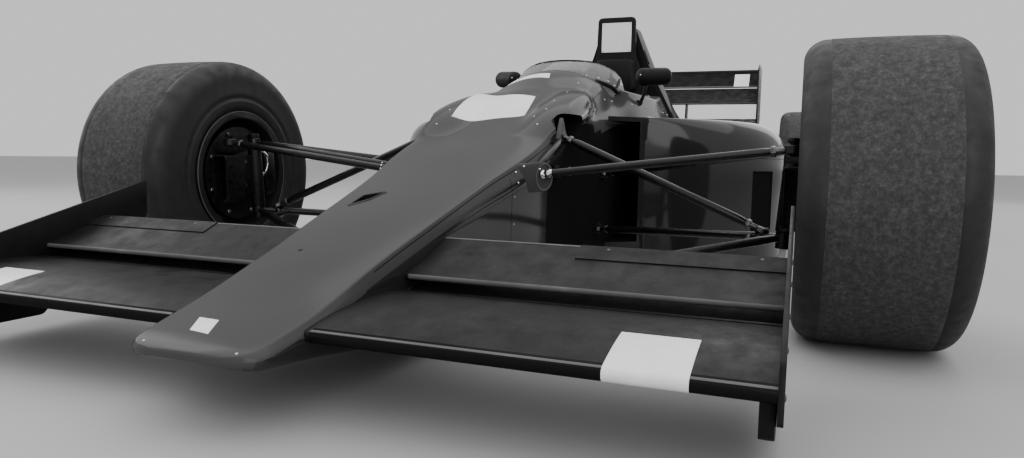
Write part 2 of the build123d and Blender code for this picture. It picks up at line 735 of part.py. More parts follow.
def wishbone(front, rear, outer, height, body):
    """Two legs from the body to an eye on the kingpin."""
    legs = rod(front, outer, ARM_RADIUS) + rod(rear, outer, ARM_RADIUS)
    low = height - EYE_HALF
    high = height + EYE_HALF
    under = kingpin_bar(low - EYE_CLEAR_HEIGHT, low, EYE_CLEAR_RADIUS)
    over = kingpin_bar(high, high + EYE_CLEAR_HEIGHT, EYE_CLEAR_RADIUS)
    eye = kingpin_bar(low, high, EYE_RADIUS)
    hole = kingpin_bar(low - EYE_CLEAR_HEIGHT, high + EYE_CLEAR_HEIGHT, KINGPIN_RADIUS + RUNNING)
    return legs - under - over + eye - hole - body


def front_upright():
    """The left knuckle: kingpin, column, spindle, brake cover, scoop and steering arm."""
    long = kingpin_length()
    end = EYE_HALF + KINGPIN_CAP
    start = EYE_HALF + FACE_GAP
    pin = kingpin_bar(-end, long + end, KINGPIN_RADIUS)
    low_cap = kingpin_bar(-end, -start, KINGPIN_CAP_RADIUS)
    high_cap = kingpin_bar(long + start, long + end, KINGPIN_CAP_RADIUS)
    column = kingpin_bar(start, long - start, COLUMN_RADIUS)
    inner = FRONT_WHEEL_Y - FRONT_TYRE_WIDTH / 2 + SPINDLE_START
    back = inner + WEB_OVERLAP
    z = FRONT_TYRE_RADIUS
    cover = rod((0, inner, z), (0, inner + COVER_THICK, z), COVER_RADIUS)
    spindle = rod((0, inner, z), (0, FRONT_WHEEL_Y + SPINDLE_REACH, z), SPINDLE_RADIUS)
    web = box(*WEB_X, WEB_INNER, back, z - WEB_DROP, z + WEB_RISE)
    scoop = box(*SCOOP_X, SCOOP_INNER, back, *SCOOP_Z)
    mouth = box(
        SCOOP_X[1] - SCOOP_DEEP, BEYOND, SCOOP_INNER + SCOOP_WALL, inner - SCOOP_WALL,
        SCOOP_Z[0] + SCOOP_WALL, SCOOP_Z[1] - SCOOP_WALL,
    )
    return joined(
        pin, low_cap, high_cap, column, cover, spindle, web, scoop - mouth, *steering_arm(back)
    )


def steering_arm(back):
    """The knuckle's arm, with the bolt that the track rod's eye turns on."""
    x, y, height = STEER_ARM
    top = height - ROD_EYE_HALF - ROD_EYE_GAP
    low = top - STEER_ARM_THICK
    over = height + ROD_EYE_HALF + ROD_EYE_GAP
    edge = y - STEER_ARM_EDGE
    outline = [
        (STEER_ARM_ROOT, back), (x - STEER_ARM_HALF, edge), (x + STEER_ARM_HALF, edge),
        (x + STEER_ARM_HALF, back),
    ]
    arm = plan_plate(outline, low, top)
    bolt = rod((x, y, low), (x, y, over + STEER_CAP), STEER_PIN)
    cap = rod((x, y, over), (x, y, over + STEER_CAP), ROD_EYE_BORE + 1)
    return arm, bolt, cap


def steering_rack():
    """The rack with both track rods, which slide as one."""
    bar = rod((RACK_X, -RACK_HALF, RACK_Z), (RACK_X, RACK_HALF, RACK_Z), RACK_RADIUS)
    arm = rod((RACK_X, RACK_HALF - RACK_ROD_OVERLAP, RACK_Z), STEER_ARM, ROD_RADIUS)
    x, y, z = STEER_ARM
    eye = rod((x, y, z - ROD_EYE_HALF), (x, y, z + ROD_EYE_HALF), ROD_EYE)
    hole = rod((x, y, z - ROD_EYE), (x, y, z + ROD_EYE), ROD_EYE_BORE)
    return bar + both(arm + eye - hole)


def front_pushrod(lower):
    """The left pushrod, from the lower arm to its rocker in the tub's opening."""
    inside = box(-BEYOND, BEYOND, 0, POCKET_WALL, 0, BEYOND)
    bar = rod(FRONT_ROCKER, FRONT_PUSH_FOOT, PUSHROD_RADIUS) - inside - lower
    low = POCKET_OUTLINE[0][1]
    rocker = box(*ROCKER_SPAN, POCKET_WALL, POCKET_WALL + ROCKER_THICK, low, ROCKER_TOP)
    return bar + rocker


def tyre(radius, width):
    """A tyre about the Y axis, its centre plane at y = 0."""
    half = width / 2
    right = [
        (BEAD_RADIUS, half - BEAD_STEP), (FLANGE_RADIUS + FLANGE_CLEAR, half - BEAD_STEP),
        (FLANGE_RADIUS + SIDEWALL_START, half), (radius - SHOULDER, half), (radius, half - SHOULDER),
    ]
    radii = [BEAD_ROUND, FLANGE_CLEAR, SIDEWALL_ROUND, SHOULDER_ROUND, SHOULDER_ROUND]
    corners = right + [(r, -y) for r, y in reversed(right)]
    outline = FilletPolyline(*corners, radius=radii + radii[::-1], close=True)
    return revolve(make_face(outline), axis=Axis.Y)


def rim(width, disc_at, hub_span):
    """A rim about the Y axis: barrel, flanges, disc with windows, hub and nut."""
    half = width / 2 - BEAD_STEP
    inner = BEAD_RADIUS - BARREL_WALL
    out = half + FLANGE_WIDTH
    barrel = [(inner, -out), (FLANGE_RADIUS, -out), (FLANGE_RADIUS, -half), (BEAD_RADIUS, -half)]
    corners = barrel + [(r, -y) for r, y in reversed(barrel)]
    ring = revolve(make_face(Polyline(*corners, close=True)), axis=Axis.Y)
    disc = rod((0, disc_at, 0), (0, disc_at + DISC_THICK, 0), inner + DISC_OVERLAP)
    start, end = hub_span
    hub = rod((0, start, 0), (0, end, 0), HUB_RADIUS)
    nut = rod((0, end, 0), (0, end + NUT_LENGTH, 0), NUT_RADIUS)
    whole = joined(ring, disc, hub, nut)
    window = rod((0, 0, WINDOW_AT), (0, disc_at + 2 * DISC_THICK, WINDOW_AT), WINDOW_RADIUS)
    for turn in range(SPOKES):
        whole = whole - Rot(0, 360 / SPOKES * turn, 0) * window
    return whole


def front_rim():
    """The front rim, bored for the knuckle's spindle."""
    bore = rod((0, -BEYOND, 0), (0, SPINDLE_REACH + FACE_GAP, 0), SPINDLE_RADIUS + RUNNING)
    return rim(FRONT_TYRE_WIDTH, FRONT_DISC_AT, FRONT_HUB_SPAN) - bore


def rear_arms(case, upright):
    """The left rear arms and pushrod, which don't touch each other."""
    bars = [rod(REAR_ROCKER, REAR_PUSH_FOOT, PUSHROD_RADIUS)]
    bars.append(rod(REAR_PUSH_FOOT, REAR_PUSH_ROOT, PUSHROD_RADIUS))
    for start in (REAR_LOWER_FRONT, REAR_LOWER_REAR):
        bars.append(rod(start, REAR_LOWER_OUT, ARM_RADIUS))
    for start in (REAR_UPPER_FRONT, REAR_UPPER_REAR):
        bars.append(rod(start, REAR_UPPER_OUT, ARM_RADIUS))
    return joined(*bars) - case - upright


def rear_upright():
    """The left rear upright, with the axle's bearing bore."""
    z = REAR_TYRE_RADIUS
    half = UPRIGHT_HALF
    rise = UPRIGHT_RISE
    block = box(REAR_AXLE - half, REAR_AXLE + half, UPRIGHT_INNER, UPRIGHT_OUTER, z - rise, z + rise)
    start = UPRIGHT_OUTER - 1
    cover = rod((REAR_AXLE, start, z), (REAR_AXLE, UPRIGHT_OUTER + COVER_THICK, z), COVER_RADIUS)
    bore = rod((REAR_AXLE, 0, z), (REAR_AXLE, BEYOND, z), AXLE_RADIUS + RUNNING)
    return block + cover - bore


def rear_axle():
    """The left driveshaft with its joint housings."""
    z = REAR_TYRE_RADIUS
    end = REAR_WHEEL_Y + REAR_HUB_SPAN[0]
    shaft = rod((REAR_AXLE, CV_START - SHAFT_IN_CASE, z), (REAR_AXLE, end, z), AXLE_RADIUS)
    inner = rod((REAR_AXLE, CV_START, z), (REAR_AXLE, CV_START + CV_LENGTH, z), CV_RADIUS)
    outer_end = UPRIGHT_INNER - CV_GAP
    outer = rod((REAR_AXLE, outer_end - CV_LENGTH, z), (REAR_AXLE, outer_end, z), CV_RADIUS)
    return joined(shaft, inner, outer)


def save_body():
    """Write the body, the cockpit's pieces, the power unit and the floor."""
    nose, tub = body_pieces()
    save("nose_cone", nose)
    save("tub", tub)
    save("windscreen", windscreen(nose, tub))
    save("seat", side_plate(SEAT_OUTLINE, -SEAT_HALF, SEAT_HALF))
    save("steering_wheel", steering_wheel())
    save("headrest", headrest(tub))
    save("mirrors", both(mirror_piece(tub)))
    save("engine_cover", body_loft(COVER_SECTIONS))
    engine = box(BULKHEAD_REAR, ENGINE_REAR, -ENGINE_HALF, ENGINE_HALF, ENGINE_LOW, ENGINE_HIGH)
    save("engine_block", engine)
    save("exhausts", both(exhaust(engine)))
    save_sides("side_pod", side_pod())
    save("radiators", both(radiator()))
    save("floor", floor_plate())
    save("diffuser", diffuser())
    return nose, tub


def save_wings(nose, case):
    """Write both wings with their plates and posts."""
    wing = aerofoil(WING_PLANE, WING_HALF)
    save("front_wing", wing - nose)
    save("front_flaps", aerofoil(FLAP_PLANE, WING_HALF) - nose)
    plate = side_plate(FRONT_PLATE, WING_HALF, WING_HALF + PLATE_THICK)
    fence = side_plate(FENCE_OUTLINE, FENCE_Y, FENCE_Y + PLATE_THICK) - wing
    save_sides("front_endplate", plate + fence)
    outline = from_line(TAIL, POST_HEAD) + from_line(REAR_AXLE, POST_FOOT)
    post = side_plate(outline, POST_Y - POST_THICK / 2, POST_Y + POST_THICK / 2) - case
    for node, (nose_at, tail_at, thick, camber) in REAR_PLANES.items():
        ends = from_line(TAIL, [nose_at, tail_at])
        wing = aerofoil((*ends, thick, camber), REAR_WING_HALF)
        save(node, wing)
        post = post - wing
    plate = from_line(TAIL, REAR_PLATE)
    save_sides("rear_endplate", side_plate(plate, REAR_WING_HALF, REAR_WING_HALF + PLATE_THICK))
    save("rear_wing_posts", both(post))


def save_running_gear(nose, tub, case):
    """Write the steering, the suspension and the wheels."""
    save("steering_rack", steering_rack())
    upper = wishbone(FRONT_UPPER_FRONT, FRONT_UPPER_REAR, KINGPIN_HIGH, kingpin_length(), tub)
    lower = wishbone(FRONT_LOWER_FRONT, FRONT_LOWER_REAR, KINGPIN_LOW, 0, tub + nose)
    save("front_upper_arms", both(upper))
    save("front_lower_arms", both(lower))
    save_sides("front_upright", front_upright())
    save("front_pushrods", both(front_pushrod(lower)))
    upright = rear_upright()
    save("rear_arms", both(rear_arms(case, upright)))
    save("rear_uprights", both(upright))
    save_sides("rear_axle", rear_axle())
    front = Pos(0, FRONT_WHEEL_Y, FRONT_TYRE_RADIUS)
    rear = Pos(REAR_AXLE, REAR_WHEEL_Y, REAR_TYRE_RADIUS)
    save_sides("front_rim", front * front_rim())
    save_sides("front_tyre", front * tyre(FRONT_TYRE_RADIUS, FRONT_TYRE_WIDTH))
    save_sides("rear_rim", rear * rim(REAR_TYRE_WIDTH, REAR_DISC_AT, REAR_HUB_SPAN))
    save_sides("rear_tyre", rear * tyre(REAR_TYRE_RADIUS, REAR_TYRE_WIDTH))


def main():
    os.makedirs("parts", exist_ok=True)
    nose, tub = save_body()
    case = gearbox()
    save("gearbox", case)
    save_wings(nose, case)
    save_running_gear(nose, tub, case)


main()
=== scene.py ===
import bmesh
import bpy
import json
import numpy as np
from math import atan2, cos, pi, radians, sin, sqrt
from mathutils import Matrix, Vector
from mathutils.bvhtree import BVHTree

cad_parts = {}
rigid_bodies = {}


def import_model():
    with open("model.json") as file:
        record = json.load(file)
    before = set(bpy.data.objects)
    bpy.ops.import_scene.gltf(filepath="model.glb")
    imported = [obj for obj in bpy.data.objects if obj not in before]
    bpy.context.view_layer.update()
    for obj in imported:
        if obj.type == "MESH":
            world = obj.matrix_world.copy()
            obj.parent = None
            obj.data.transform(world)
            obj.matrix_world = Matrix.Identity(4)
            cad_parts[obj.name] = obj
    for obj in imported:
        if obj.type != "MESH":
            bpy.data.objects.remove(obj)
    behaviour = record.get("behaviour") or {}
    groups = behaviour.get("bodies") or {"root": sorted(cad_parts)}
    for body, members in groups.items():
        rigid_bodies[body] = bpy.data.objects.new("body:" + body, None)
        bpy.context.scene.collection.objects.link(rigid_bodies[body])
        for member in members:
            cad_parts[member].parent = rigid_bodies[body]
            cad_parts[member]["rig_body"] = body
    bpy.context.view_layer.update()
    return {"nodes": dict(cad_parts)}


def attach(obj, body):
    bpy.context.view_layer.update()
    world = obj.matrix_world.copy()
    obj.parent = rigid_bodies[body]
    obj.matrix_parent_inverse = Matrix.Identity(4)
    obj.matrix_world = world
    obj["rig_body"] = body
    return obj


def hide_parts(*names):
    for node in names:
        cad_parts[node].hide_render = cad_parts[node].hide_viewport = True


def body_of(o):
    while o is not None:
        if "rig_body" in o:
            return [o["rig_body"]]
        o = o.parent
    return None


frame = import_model()

# Lengths are in metres in the CAD's frame. Tables with x from the front axle, in millimetres,
# are moved there by car().
AXLE = 1.165
FRONT_Y, FRONT_Z = 0.898, 0.3175
REAR_X, REAR_Y, REAR_Z = AXLE - 2.8, 0.832, 0.33
SIDES = ((1, "left"), (-1, "right"))


def car(x, y, z):
    """A point in millimetres from the front axle, in the frame's metres."""
    return (AXLE + x / 1000, y / 1000, z / 1000)


# Materials

class Paint:
    """A procedural material: sockets set directly, with noise laid over them."""

    def __init__(self, name, color, rough, metal=0.0, **sockets):
        self.mat = bpy.data.materials.new(name)
        self.mat.use_nodes = True
        self.tree = self.mat.node_tree
        self.shader = self.tree.nodes["Principled BSDF"]
        self.color = color if hasattr(color, "__len__") else (color, color, color)
        self.set("Base Color", (*self.color, 1))
        self.set("Roughness", rough)
        self.set("Metallic", metal)
        for key, value in sockets.items():
            self.set(key.replace("_", " "), value)
        self.normal = None
        self.coords = self.node("ShaderNodeTexCoord").outputs["Object"]

    def set(self, socket, value):
        """Set a socket's own value."""
        self.shader.inputs[socket].default_value = value

    def node(self, kind, **props):
        """A new node with its properties."""
        made = self.tree.nodes.new(kind)
        for key, value in props.items():
            setattr(made, key, value)
        return made

    def link(self, a, b):
        self.tree.links.new(a, b)

    def scaled(self, scale):
        """The object's coordinates, stretched."""
        stretch = self.node("ShaderNodeMapping")
        stretch.inputs["Scale"].default_value = scale
        self.link(self.coords, stretch.inputs["Vector"])
        return stretch.outputs["Vector"]

    def noise(self, size, detail=4.0, rough=0.55, scale=(1, 1, 1)):
        """Noise with features of about this size, in metres."""
        made = self.node("ShaderNodeTexNoise")
        made.inputs["Scale"].default_value = 1 / size
        made.inputs["Detail"].default_value = detail
        made.inputs["Roughness"].default_value = rough
        self.link(self.scaled(scale), made.inputs["Vector"])
        return made.outputs["Fac"]

    def ramp(self, fac, stops):
        """A colour from stops of (place, value) over a factor."""
        made = self.node("ShaderNodeValToRGB")
        ramp = made.color_ramp
        while len(ramp.elements) < len(stops):
            ramp.elements.new(0.5)
        for element, (place, value) in zip(ramp.elements, stops):
            element.position = place
            element.color = (*value, 1) if hasattr(value, "__len__") else (value, value, value, 1)
        self.link(fac, made.inputs["Fac"])
        return made.outputs["Color"]

    def bump(self, height, strength, distance):
        """Relief over what relief there is already."""
        made = self.node("ShaderNodeBump")
        made.inputs["Strength"].default_value = strength
        made.inputs["Distance"].default_value = distance
        self.link(height, made.inputs["Height"])
        if self.normal is not None:
            self.link(self.normal, made.inputs["Normal"])
        self.normal = made.outputs["Normal"]
        self.link(self.normal, self.shader.inputs["Normal"])
        return self

    def tint(self, fac, stops):
        """Base colour from a ramp over a factor, as multiples of the material's own colour."""
        shades = [(place, tuple(min(1, c * value) for c in self.color)) for place, value in stops]
        self.link(self.ramp(fac, shades), self.shader.inputs["Base Color"])
        return self

    def vary(self, socket, fac, stops):
        """Drive a socket from a ramp over a factor."""
        self.link(self.ramp(fac, stops), self.shader.inputs[socket])
        return self


def body_paint(name, color, rough=0.22, coat=0.5, coat_rough=0.12):
    """Paint whose gloss comes from a clear coat of a given weight."""
    made = Paint(name, color, rough, Specular_IOR_Level=0.0, Coat_Weight=coat, Coat_Roughness=coat_rough)
    made.tint(made.noise(0.35, 3), [(0.3, 0.92), (0.7, 1.07)])
    made.vary("Roughness", made.noise(0.09, 6, 0.65), [(0.35, rough * 0.75), (0.75, rough * 1.6)])
    made.bump(made.noise(0.3, 2), 0.1, 0.002)
    return made.mat


def scratched(name, color, rough, along=(14, 1, 14), worn=2.2):
    """Dark paint rubbed lighter in patches, with fine scratches along one way."""
    made = Paint(name, color, rough, Specular_IOR_Level=0.12)
    made.tint(made.noise(0.16, 8, 0.7), [(0.25, 0.75), (0.55, 1.0), (0.8, worn)])
    made.vary("Roughness", made.noise(0.05, 6, 0.7), [(0.3, rough * 0.7), (0.7, rough * 1.5)])
    made.bump(made.noise(0.02, 5, 0.6, along), 0.25, 0.0005)
    return made.mat


def gloss_tube(name, color):
    """Painted tube, glossy and a little worn."""
    made = Paint(name, color, 0.26, Specular_IOR_Level=0.3)
    made.vary("Roughness", made.noise(0.03, 5), [(0.3, 0.16), (0.75, 0.4)])
    made.tint(made.noise(0.05, 5), [(0.3, 0.8), (0.75, 1.5)])
    made.bump(made.noise(0.006, 3), 0.12, 0.0003)
    return made.mat


def metal(name, color, rough, scale=(1, 1, 1), size=0.01):
    """Bare metal, its grain stretched by a scale."""
    made = Paint(name, color, rough, 1.0)
    made.vary("Roughness", made.noise(size, 5, 0.6, scale), [(0.3, rough * 0.7), (0.7, rough * 1.5)])
    made.tint(made.noise(0.03, 4), [(0.3, 0.85), (0.7, 1.1)])
    made.bump(made.noise(size * 0.4, 3, 0.5, scale), 0.12, 0.0003)
    return made.mat


def rubber(name, color):
    """Dull rubber with fine grain and paler marks."""
    made = Paint(name, color, 0.6, Specular_IOR_Level=0.35)
    made.tint(made.noise(0.05, 7, 0.7), [(0.28, 0.8), (0.5, 1.0), (0.75, 1.5)])
    made.vary("Roughness", made.noise(0.03, 5), [(0.3, 0.48), (0.7, 0.75)])
    made.bump(made.noise(0.02, 4, 0.6), 0.12, 0.0006)
    made.bump(made.noise(0.0016, 3), 0.2, 0.0003)
    return made.mat


def tread_rubber():
    """Slick tread, scuffed lighter in worn patches and small marks."""
    made = Paint("tread_rubber", 0.036, 0.8, Specular_IOR_Level=0.2)
    made.tint(made.noise(0.011, 12, 0.85), [(0.3, 0.5), (0.46, 1.0), (0.58, 1.8), (0.7, 4.0)])
    made.vary("Roughness", made.noise(0.03, 5), [(0.3, 0.62), (0.7, 0.92)])
    made.bump(made.noise(0.012, 8, 0.75), 0.55, 0.0011)
    made.bump(made.noise(0.0014, 3), 0.4, 0.0004)
    return made.mat


def cloth(name, color):
    """Cloth with threads that cross."""
    made = Paint(name, color, 0.9, Sheen_Weight=0.3)
    for scale in ((1, 6, 1), (6, 1, 6)):
        made.bump(made.noise(0.004, 2, 0.5, scale), 0.3, 0.0006)
    made.tint(made.noise(0.04, 4), [(0.3, 0.8), (0.7, 1.3)])
    return made.mat


def woven_carbon(name, color, rough=0.4):
    """Carbon cloth under a thin coat."""
    made = Paint(name, color, rough, Coat_Weight=0.3, Coat_Roughness=0.15)
    weave = made.node("ShaderNodeTexChecker")
    weave.inputs["Scale"].default_value = 320
    made.link(made.coords, weave.inputs["Vector"])
    made.bump(weave.outputs["Fac"], 0.08, 0.0003)
    made.tint(made.noise(0.12, 5), [(0.3, 0.75), (0.7, 1.5)])
    made.vary("Roughness", made.noise(0.06, 5), [(0.3, rough * 0.7), (0.7, rough * 1.6)])
    return made.mat


def core_fins():
    """Fine fins, as of a radiator core."""
    made = Paint("core_fins", 0.09, 0.5, 0.8)
    wave = made.node("ShaderNodeTexWave", bands_direction="Z")
    wave.inputs["Scale"].default_value = 110
    made.link(made.coords, wave.inputs["Vector"])
    made.bump(wave.outputs["Fac"], 0.8, 0.002)
    made.tint(wave.outputs["Fac"], [(0.2, 0.35), (0.8, 1.6)])
    return made.mat


def tinted_screen():
    """Smoked screen that lets some light through."""
    made = Paint("tinted_screen", 0.16, 0.05, Transmission_Weight=0.7, IOR=1.25, Alpha=0.8)
    made.set("Coat Weight", 0.4)
    made.tint(made.noise(0.08, 3), [(0.3, 0.8), (0.7, 1.25)])
    made.vary("Roughness", made.noise(0.03, 5), [(0.3, 0.04), (0.7, 0.14)])
    return made.mat


def white_patch(name="white_patch", color=0.8, rough=0.34):
    """Plain white film."""
    made = Paint(name, color, rough, Coat_Weight=0.2)
    made.tint(made.noise(0.03, 5), [(0.3, 0.94), (0.7, 1.02)])
    made.vary("Roughness", made.noise(0.02, 5), [(0.3, rough * 0.8), (0.7, rough * 1.4)])
    made.bump(made.noise(0.01, 4), 0.08, 0.0004)
    return made.mat


# The body's paint in its lit tone, then darker copies of it that are painted shade: for the flanks and pods,
# for the cover behind the driver, and for the tub's side.
BODY = body_paint("body_paint", 0.05, 0.3, 0.36, 0.14)
BODY_SHADED = body_paint("body_painted_shade", 0.018, 0.2, 0.8, 0.1)
COVER_SHADED = body_paint("cover_painted_shade", 0.022, 0.4, 0.2)
TUB_SHADED = body_paint("tub_painted_shade", 0.010, 0.4, 0.10)
# Painted shade: a dark paint for the faces inside the cuts of the body, pods, slots and recesses.
SHADOW = body_paint("body_inside_painted_shade", 0.010, 0.5, 0.0)
SEAM = rubber("seam_filler", 0.006)
WING = scratched("wing_paint", 0.008, 0.4)
# Light worn paint: real worn edges, rims and bead lines, and also painted highlight lines along the wings'
# leading edges.
EDGE_WEAR_AND_HIGHLIGHT = scratched("worn_and_highlight_edge", 0.10, 0.34, worn=1.8)
GLOSS_EDGE = body_paint("gloss_edge", 0.006, 0.3, 0.12)
JOINT = metal("joint_steel", 0.10, 0.35)
BLACK = scratched("black_panel", 0.009, 0.42, (4, 4, 4), 1.6)
ARM = gloss_tube("arm_paint", 0.005)
ROD = gloss_tube("rod_paint", 0.007)
CHROME = metal("chrome", 0.8, 0.1, size=0.02)
STEEL = metal("machined_steel", 0.42, 0.3)
CAST = metal("cast_case", 0.17, 0.55, size=0.006)
PIPE = metal("heated_pipe", 0.22, 0.38, (1, 8, 8))
RIM = scratched("rim_paint", 0.014, 0.4, (6, 6, 6), 1.8)
UPRIGHT = metal("upright_metal", 0.025, 0.5)
TYRE = rubber("tyre_side", 0.012)
TREAD = tread_rubber()
GRIP = rubber("grip", 0.02)
SEAT = cloth("seat_cloth", 0.02)
CARBON = woven_carbon("carbon", 0.02)
ENGINE = metal("engine_metal", 0.12, 0.5, size=0.02)
CORE = core_fins()
SCREEN = tinted_screen()
WHITE = white_patch()
SHEET = white_patch("blank_sheet", 0.85, 0.55)
DULL = scratched("rear_wing_paint", 0.005, 0.6, worn=1.5)
GLASS = metal("mirror_glass", 0.8, 0.03, size=0.05)


# Mesh helpers

def made(name, verts, faces, material, body="chassis", angle=32.0):
    """A mesh piece that rides on a body, smooth but for edges sharper than an angle."""
    data = bpy.data.meshes.new(name)
    data.from_pydata([tuple(map(float, v)) for v in verts], [], [tuple(map(int, f)) for f in faces])
    data.validate()
    piece = bpy.data.objects.new(name, data)
    bpy.context.scene.collection.objects.link(piece)
    data.materials.append(material)
    clean(piece)
    if body:
        dress(piece, body, angle)
    return piece


def dress(piece, body, angle=32.0):
    """Shading and body for a finished mesh."""
    piece.data.shade_smooth()
    piece.data.set_sharp_from_angle(angle=radians(angle))
    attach(piece, body)
    return piece


WELD, THIN = 1e-5, 1e-6


def clean(piece):
    """Weld a mesh and turn its faces outward."""
    work = bmesh.new()
    work.from_mesh(piece.data)
    bmesh.ops.remove_doubles(work, verts=work.verts, dist=WELD)
    bmesh.ops.dissolve_degenerate(work, edges=work.edges, dist=THIN)
    bmesh.ops.recalc_face_normals(work, faces=work.faces)
    work.to_mesh(piece.data)
    work.free()


def skin(rings, caps=(True, True)):
    """Vertices and faces of a tube through rings of the same number of points."""
    rings = np.asarray(rings, float)
    rows, count = rings.shape[:2]
    faces = []
    for i in range(rows - 1):
        for j in range(count):
            k = (j + 1) % count
            faces.append((i * count + j, i * count + k, (i + 1) * count + k, (i + 1) * count + j))
    if caps[0]:
        faces.append(tuple(range(count))[::-1])
    if caps[1]:
        faces.append(tuple((rows - 1) * count + j for j in range(count)))
    return rings.reshape(-1, 3), faces


def sheet(points):
    """Vertices and faces of an open sheet through a grid of points."""
    points = np.asarray(points, float)
    rows, count = points.shape[:2]
    faces = [(i * count + j, i * count + j + 1, (i + 1) * count + j + 1, (i + 1) * count + j)
             for i in range(rows - 1) for j in range(count - 1)]
    return points.reshape(-1, 3), faces


def turned(profile, centre, axis, count=48):
    """Rings of a profile of (radius, along) turned about an axis."""
    axis = Vector(axis).normalized()
    side = axis.orthogonal().normalized()
    other = axis.cross(side)
    centre = Vector(centre)
    turns = [2 * pi * k / count for k in range(count)]
    return [[tuple(centre + axis * along + (side * cos(t) + other * sin(t)) * radius) for t in turns]
            for radius, along in profile]


def tube(points, radius, count=16, flat=1.0, up=(0, 0, 1)):
    """Rings of a bar along points, oval when flat is under 1; radius may be a list."""
    points = [Vector(p) for p in points]
    rings = []
    for i, point in enumerate(points):
        ahead = points[min(i + 1, len(points) - 1)] - points[max(i - 1, 0)]
        ahead.normalize()
        side = ahead.cross(Vector(up)).normalized()
        over = side.cross(ahead).normalized()
        size = radius[i] if hasattr(radius, "__len__") else radius
        rings.append([tuple(point + side * (cos(t) * size) + over * (sin(t) * size * flat))
                      for t in (2 * pi * k / count for k in range(count))])
    return rings


def bent(corners, radius, count=10):
    """Points along a polyline with its corners rounded."""
    corners = [Vector(c) for c in corners]
    line = [corners[0]]
    for a, b, c in zip(corners, corners[1:], corners[2:]):
        cut = min(radius, 0.45 * (b - a).length, 0.45 * (c - b).length)
        start = b + (a - b).normalized() * cut
        end = b + (c - b).normalized() * cut
        line += [start * (1 - t) ** 2 + b * 2 * t * (1 - t) + end * t * t for t in np.linspace(0, 1, count)]
    return line + [corners[-1]]


def applied(piece):
    """Bake a piece's modifiers into its mesh."""
    bpy.context.view_layer.update()
    graph = bpy.context.evaluated_depsgraph_get()
    data = bpy.data.meshes.new_from_object(piece.evaluated_get(graph))
    piece.modifiers.clear()
    piece.data = data
    return piece


def boolean(piece, cutters, operation="DIFFERENCE"):
    """Cut or join meshes, keeping each cutter's material on what it cuts."""
    for cutter in cutters:
        step = piece.modifiers.new("cut", "BOOLEAN")
        step.operation = operation
        step.solver = "EXACT"
        step.material_mode = "TRANSFER"
        step.object = cutter
        applied(piece)
        bpy.data.objects.remove(cutter)
    return piece


def bevelled(piece, width, segments=2, angle=40):
    """Round a piece's sharp edges."""
    step = piece.modifiers.new("edge", "BEVEL")
    step.width = width
    step.segments = segments
    step.limit_method = "ANGLE"
    step.angle_limit = radians(angle)
    step.use_clamp_overlap = True
    step.harden_normals = False
    return applied(piece)


def prism(outline, shift, material=SHADOW):
    """A closed prism from 3-D corners along a shift, without a body."""
    count = len(outline)
    low = [Vector(p) for p in outline]
    high = [p + Vector(shift) for p in low]
    faces = [tuple(range(count))[::-1], tuple(range(count, 2 * count))]
    faces += [(k, (k + 1) % count, count + (k + 1) % count, count + k) for k in range(count)]
    return made("cutter", low + high, faces, material, None)


def cut_shape(rings, material=SHADOW):
    """A closed shape through rings, without a body, that cuts another."""
    return made("cutter", *skin(rings), material, None)


def copied(piece, name):
    """A second piece with its own mesh."""
    twin = piece.copy()
    twin.data = piece.data.copy()
    twin.name = name
    bpy.context.scene.collection.objects.link(twin)
    return twin


def joined(name, parts, material, body="chassis", angle=42.0):
    """One piece from several (vertices, faces) pairs."""
    verts, faces = [], []
    for points, polys in parts:
        base = len(verts)
        verts += [tuple(p) for p in points]
        faces += [tuple(base + int(v) for v in poly) for poly in polys]
    return made(name, verts, faces, material, body, angle)


def mirrored(part):
    """A (vertices, faces) pair on the other side of the car."""
    points, faces = part
    points = np.array(points, float) * (1, -1, 1)
    return points, [tuple(face)[::-1] for face in faces]


def both(parts):
    """Parts of the left side, with their mirrored twins."""
    return list(parts) + [mirrored(part) for part in parts]


def dome(centre, normal, radius, height, count=12):
    """A low domed head, as of a rivet or button screw."""
    profile = [(radius * cos(t), height * sin(t)) for t in np.linspace(0, pi / 2 * 0.97, 5)]
    return skin(turned([(radius, -height)] + profile, centre, normal, count))


def hexagon(centre, axis, radius, height):
    """A chamfered hexagonal nut or bolt head."""
    profile = [(radius * 0.98, 0), (radius, height * 0.1), (radius, height * 0.8), (radius * 0.86, height)]
    return skin(turned(profile, centre, axis, 6))


def sided(parts, side):
    """Parts of the left side, mirrored when they are for the right one."""
    return parts if side > 0 else [mirrored(part) for part in parts]


def softened(node, width, material, angle=35, segments=2):
    """A CAD node's own shape with its sharp edges rounded, in place of the node."""
    source = frame["nodes"][node]
    piece = bpy.data.objects.new(f"{node}_skin", source.data.copy())
    piece.matrix_world = source.matrix_world.copy()
    bpy.context.scene.collection.objects.link(piece)
    piece.data.materials.clear()
    piece.data.materials.append(material)
    for poly in piece.data.polygons:
        poly.material_index = 0
    work = bmesh.new()
    work.from_mesh(piece.data)
    bmesh.ops.remove_doubles(work, verts=work.verts, dist=2e-6)
    bmesh.ops.dissolve_limit(work, angle_limit=radians(0.5), verts=work.verts, edges=work.edges)
    work.to_mesh(piece.data)
    work.free()
    bevelled(piece, width, segments, angle)
    dress(piece, body_of(source)[0], angle)
    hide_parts(node)
    return piece


def paint(node, material):
    """Give a CAD node its material."""
    data = frame["nodes"][node].data
    data.materials.clear()
    data.materials.append(material)


# Body

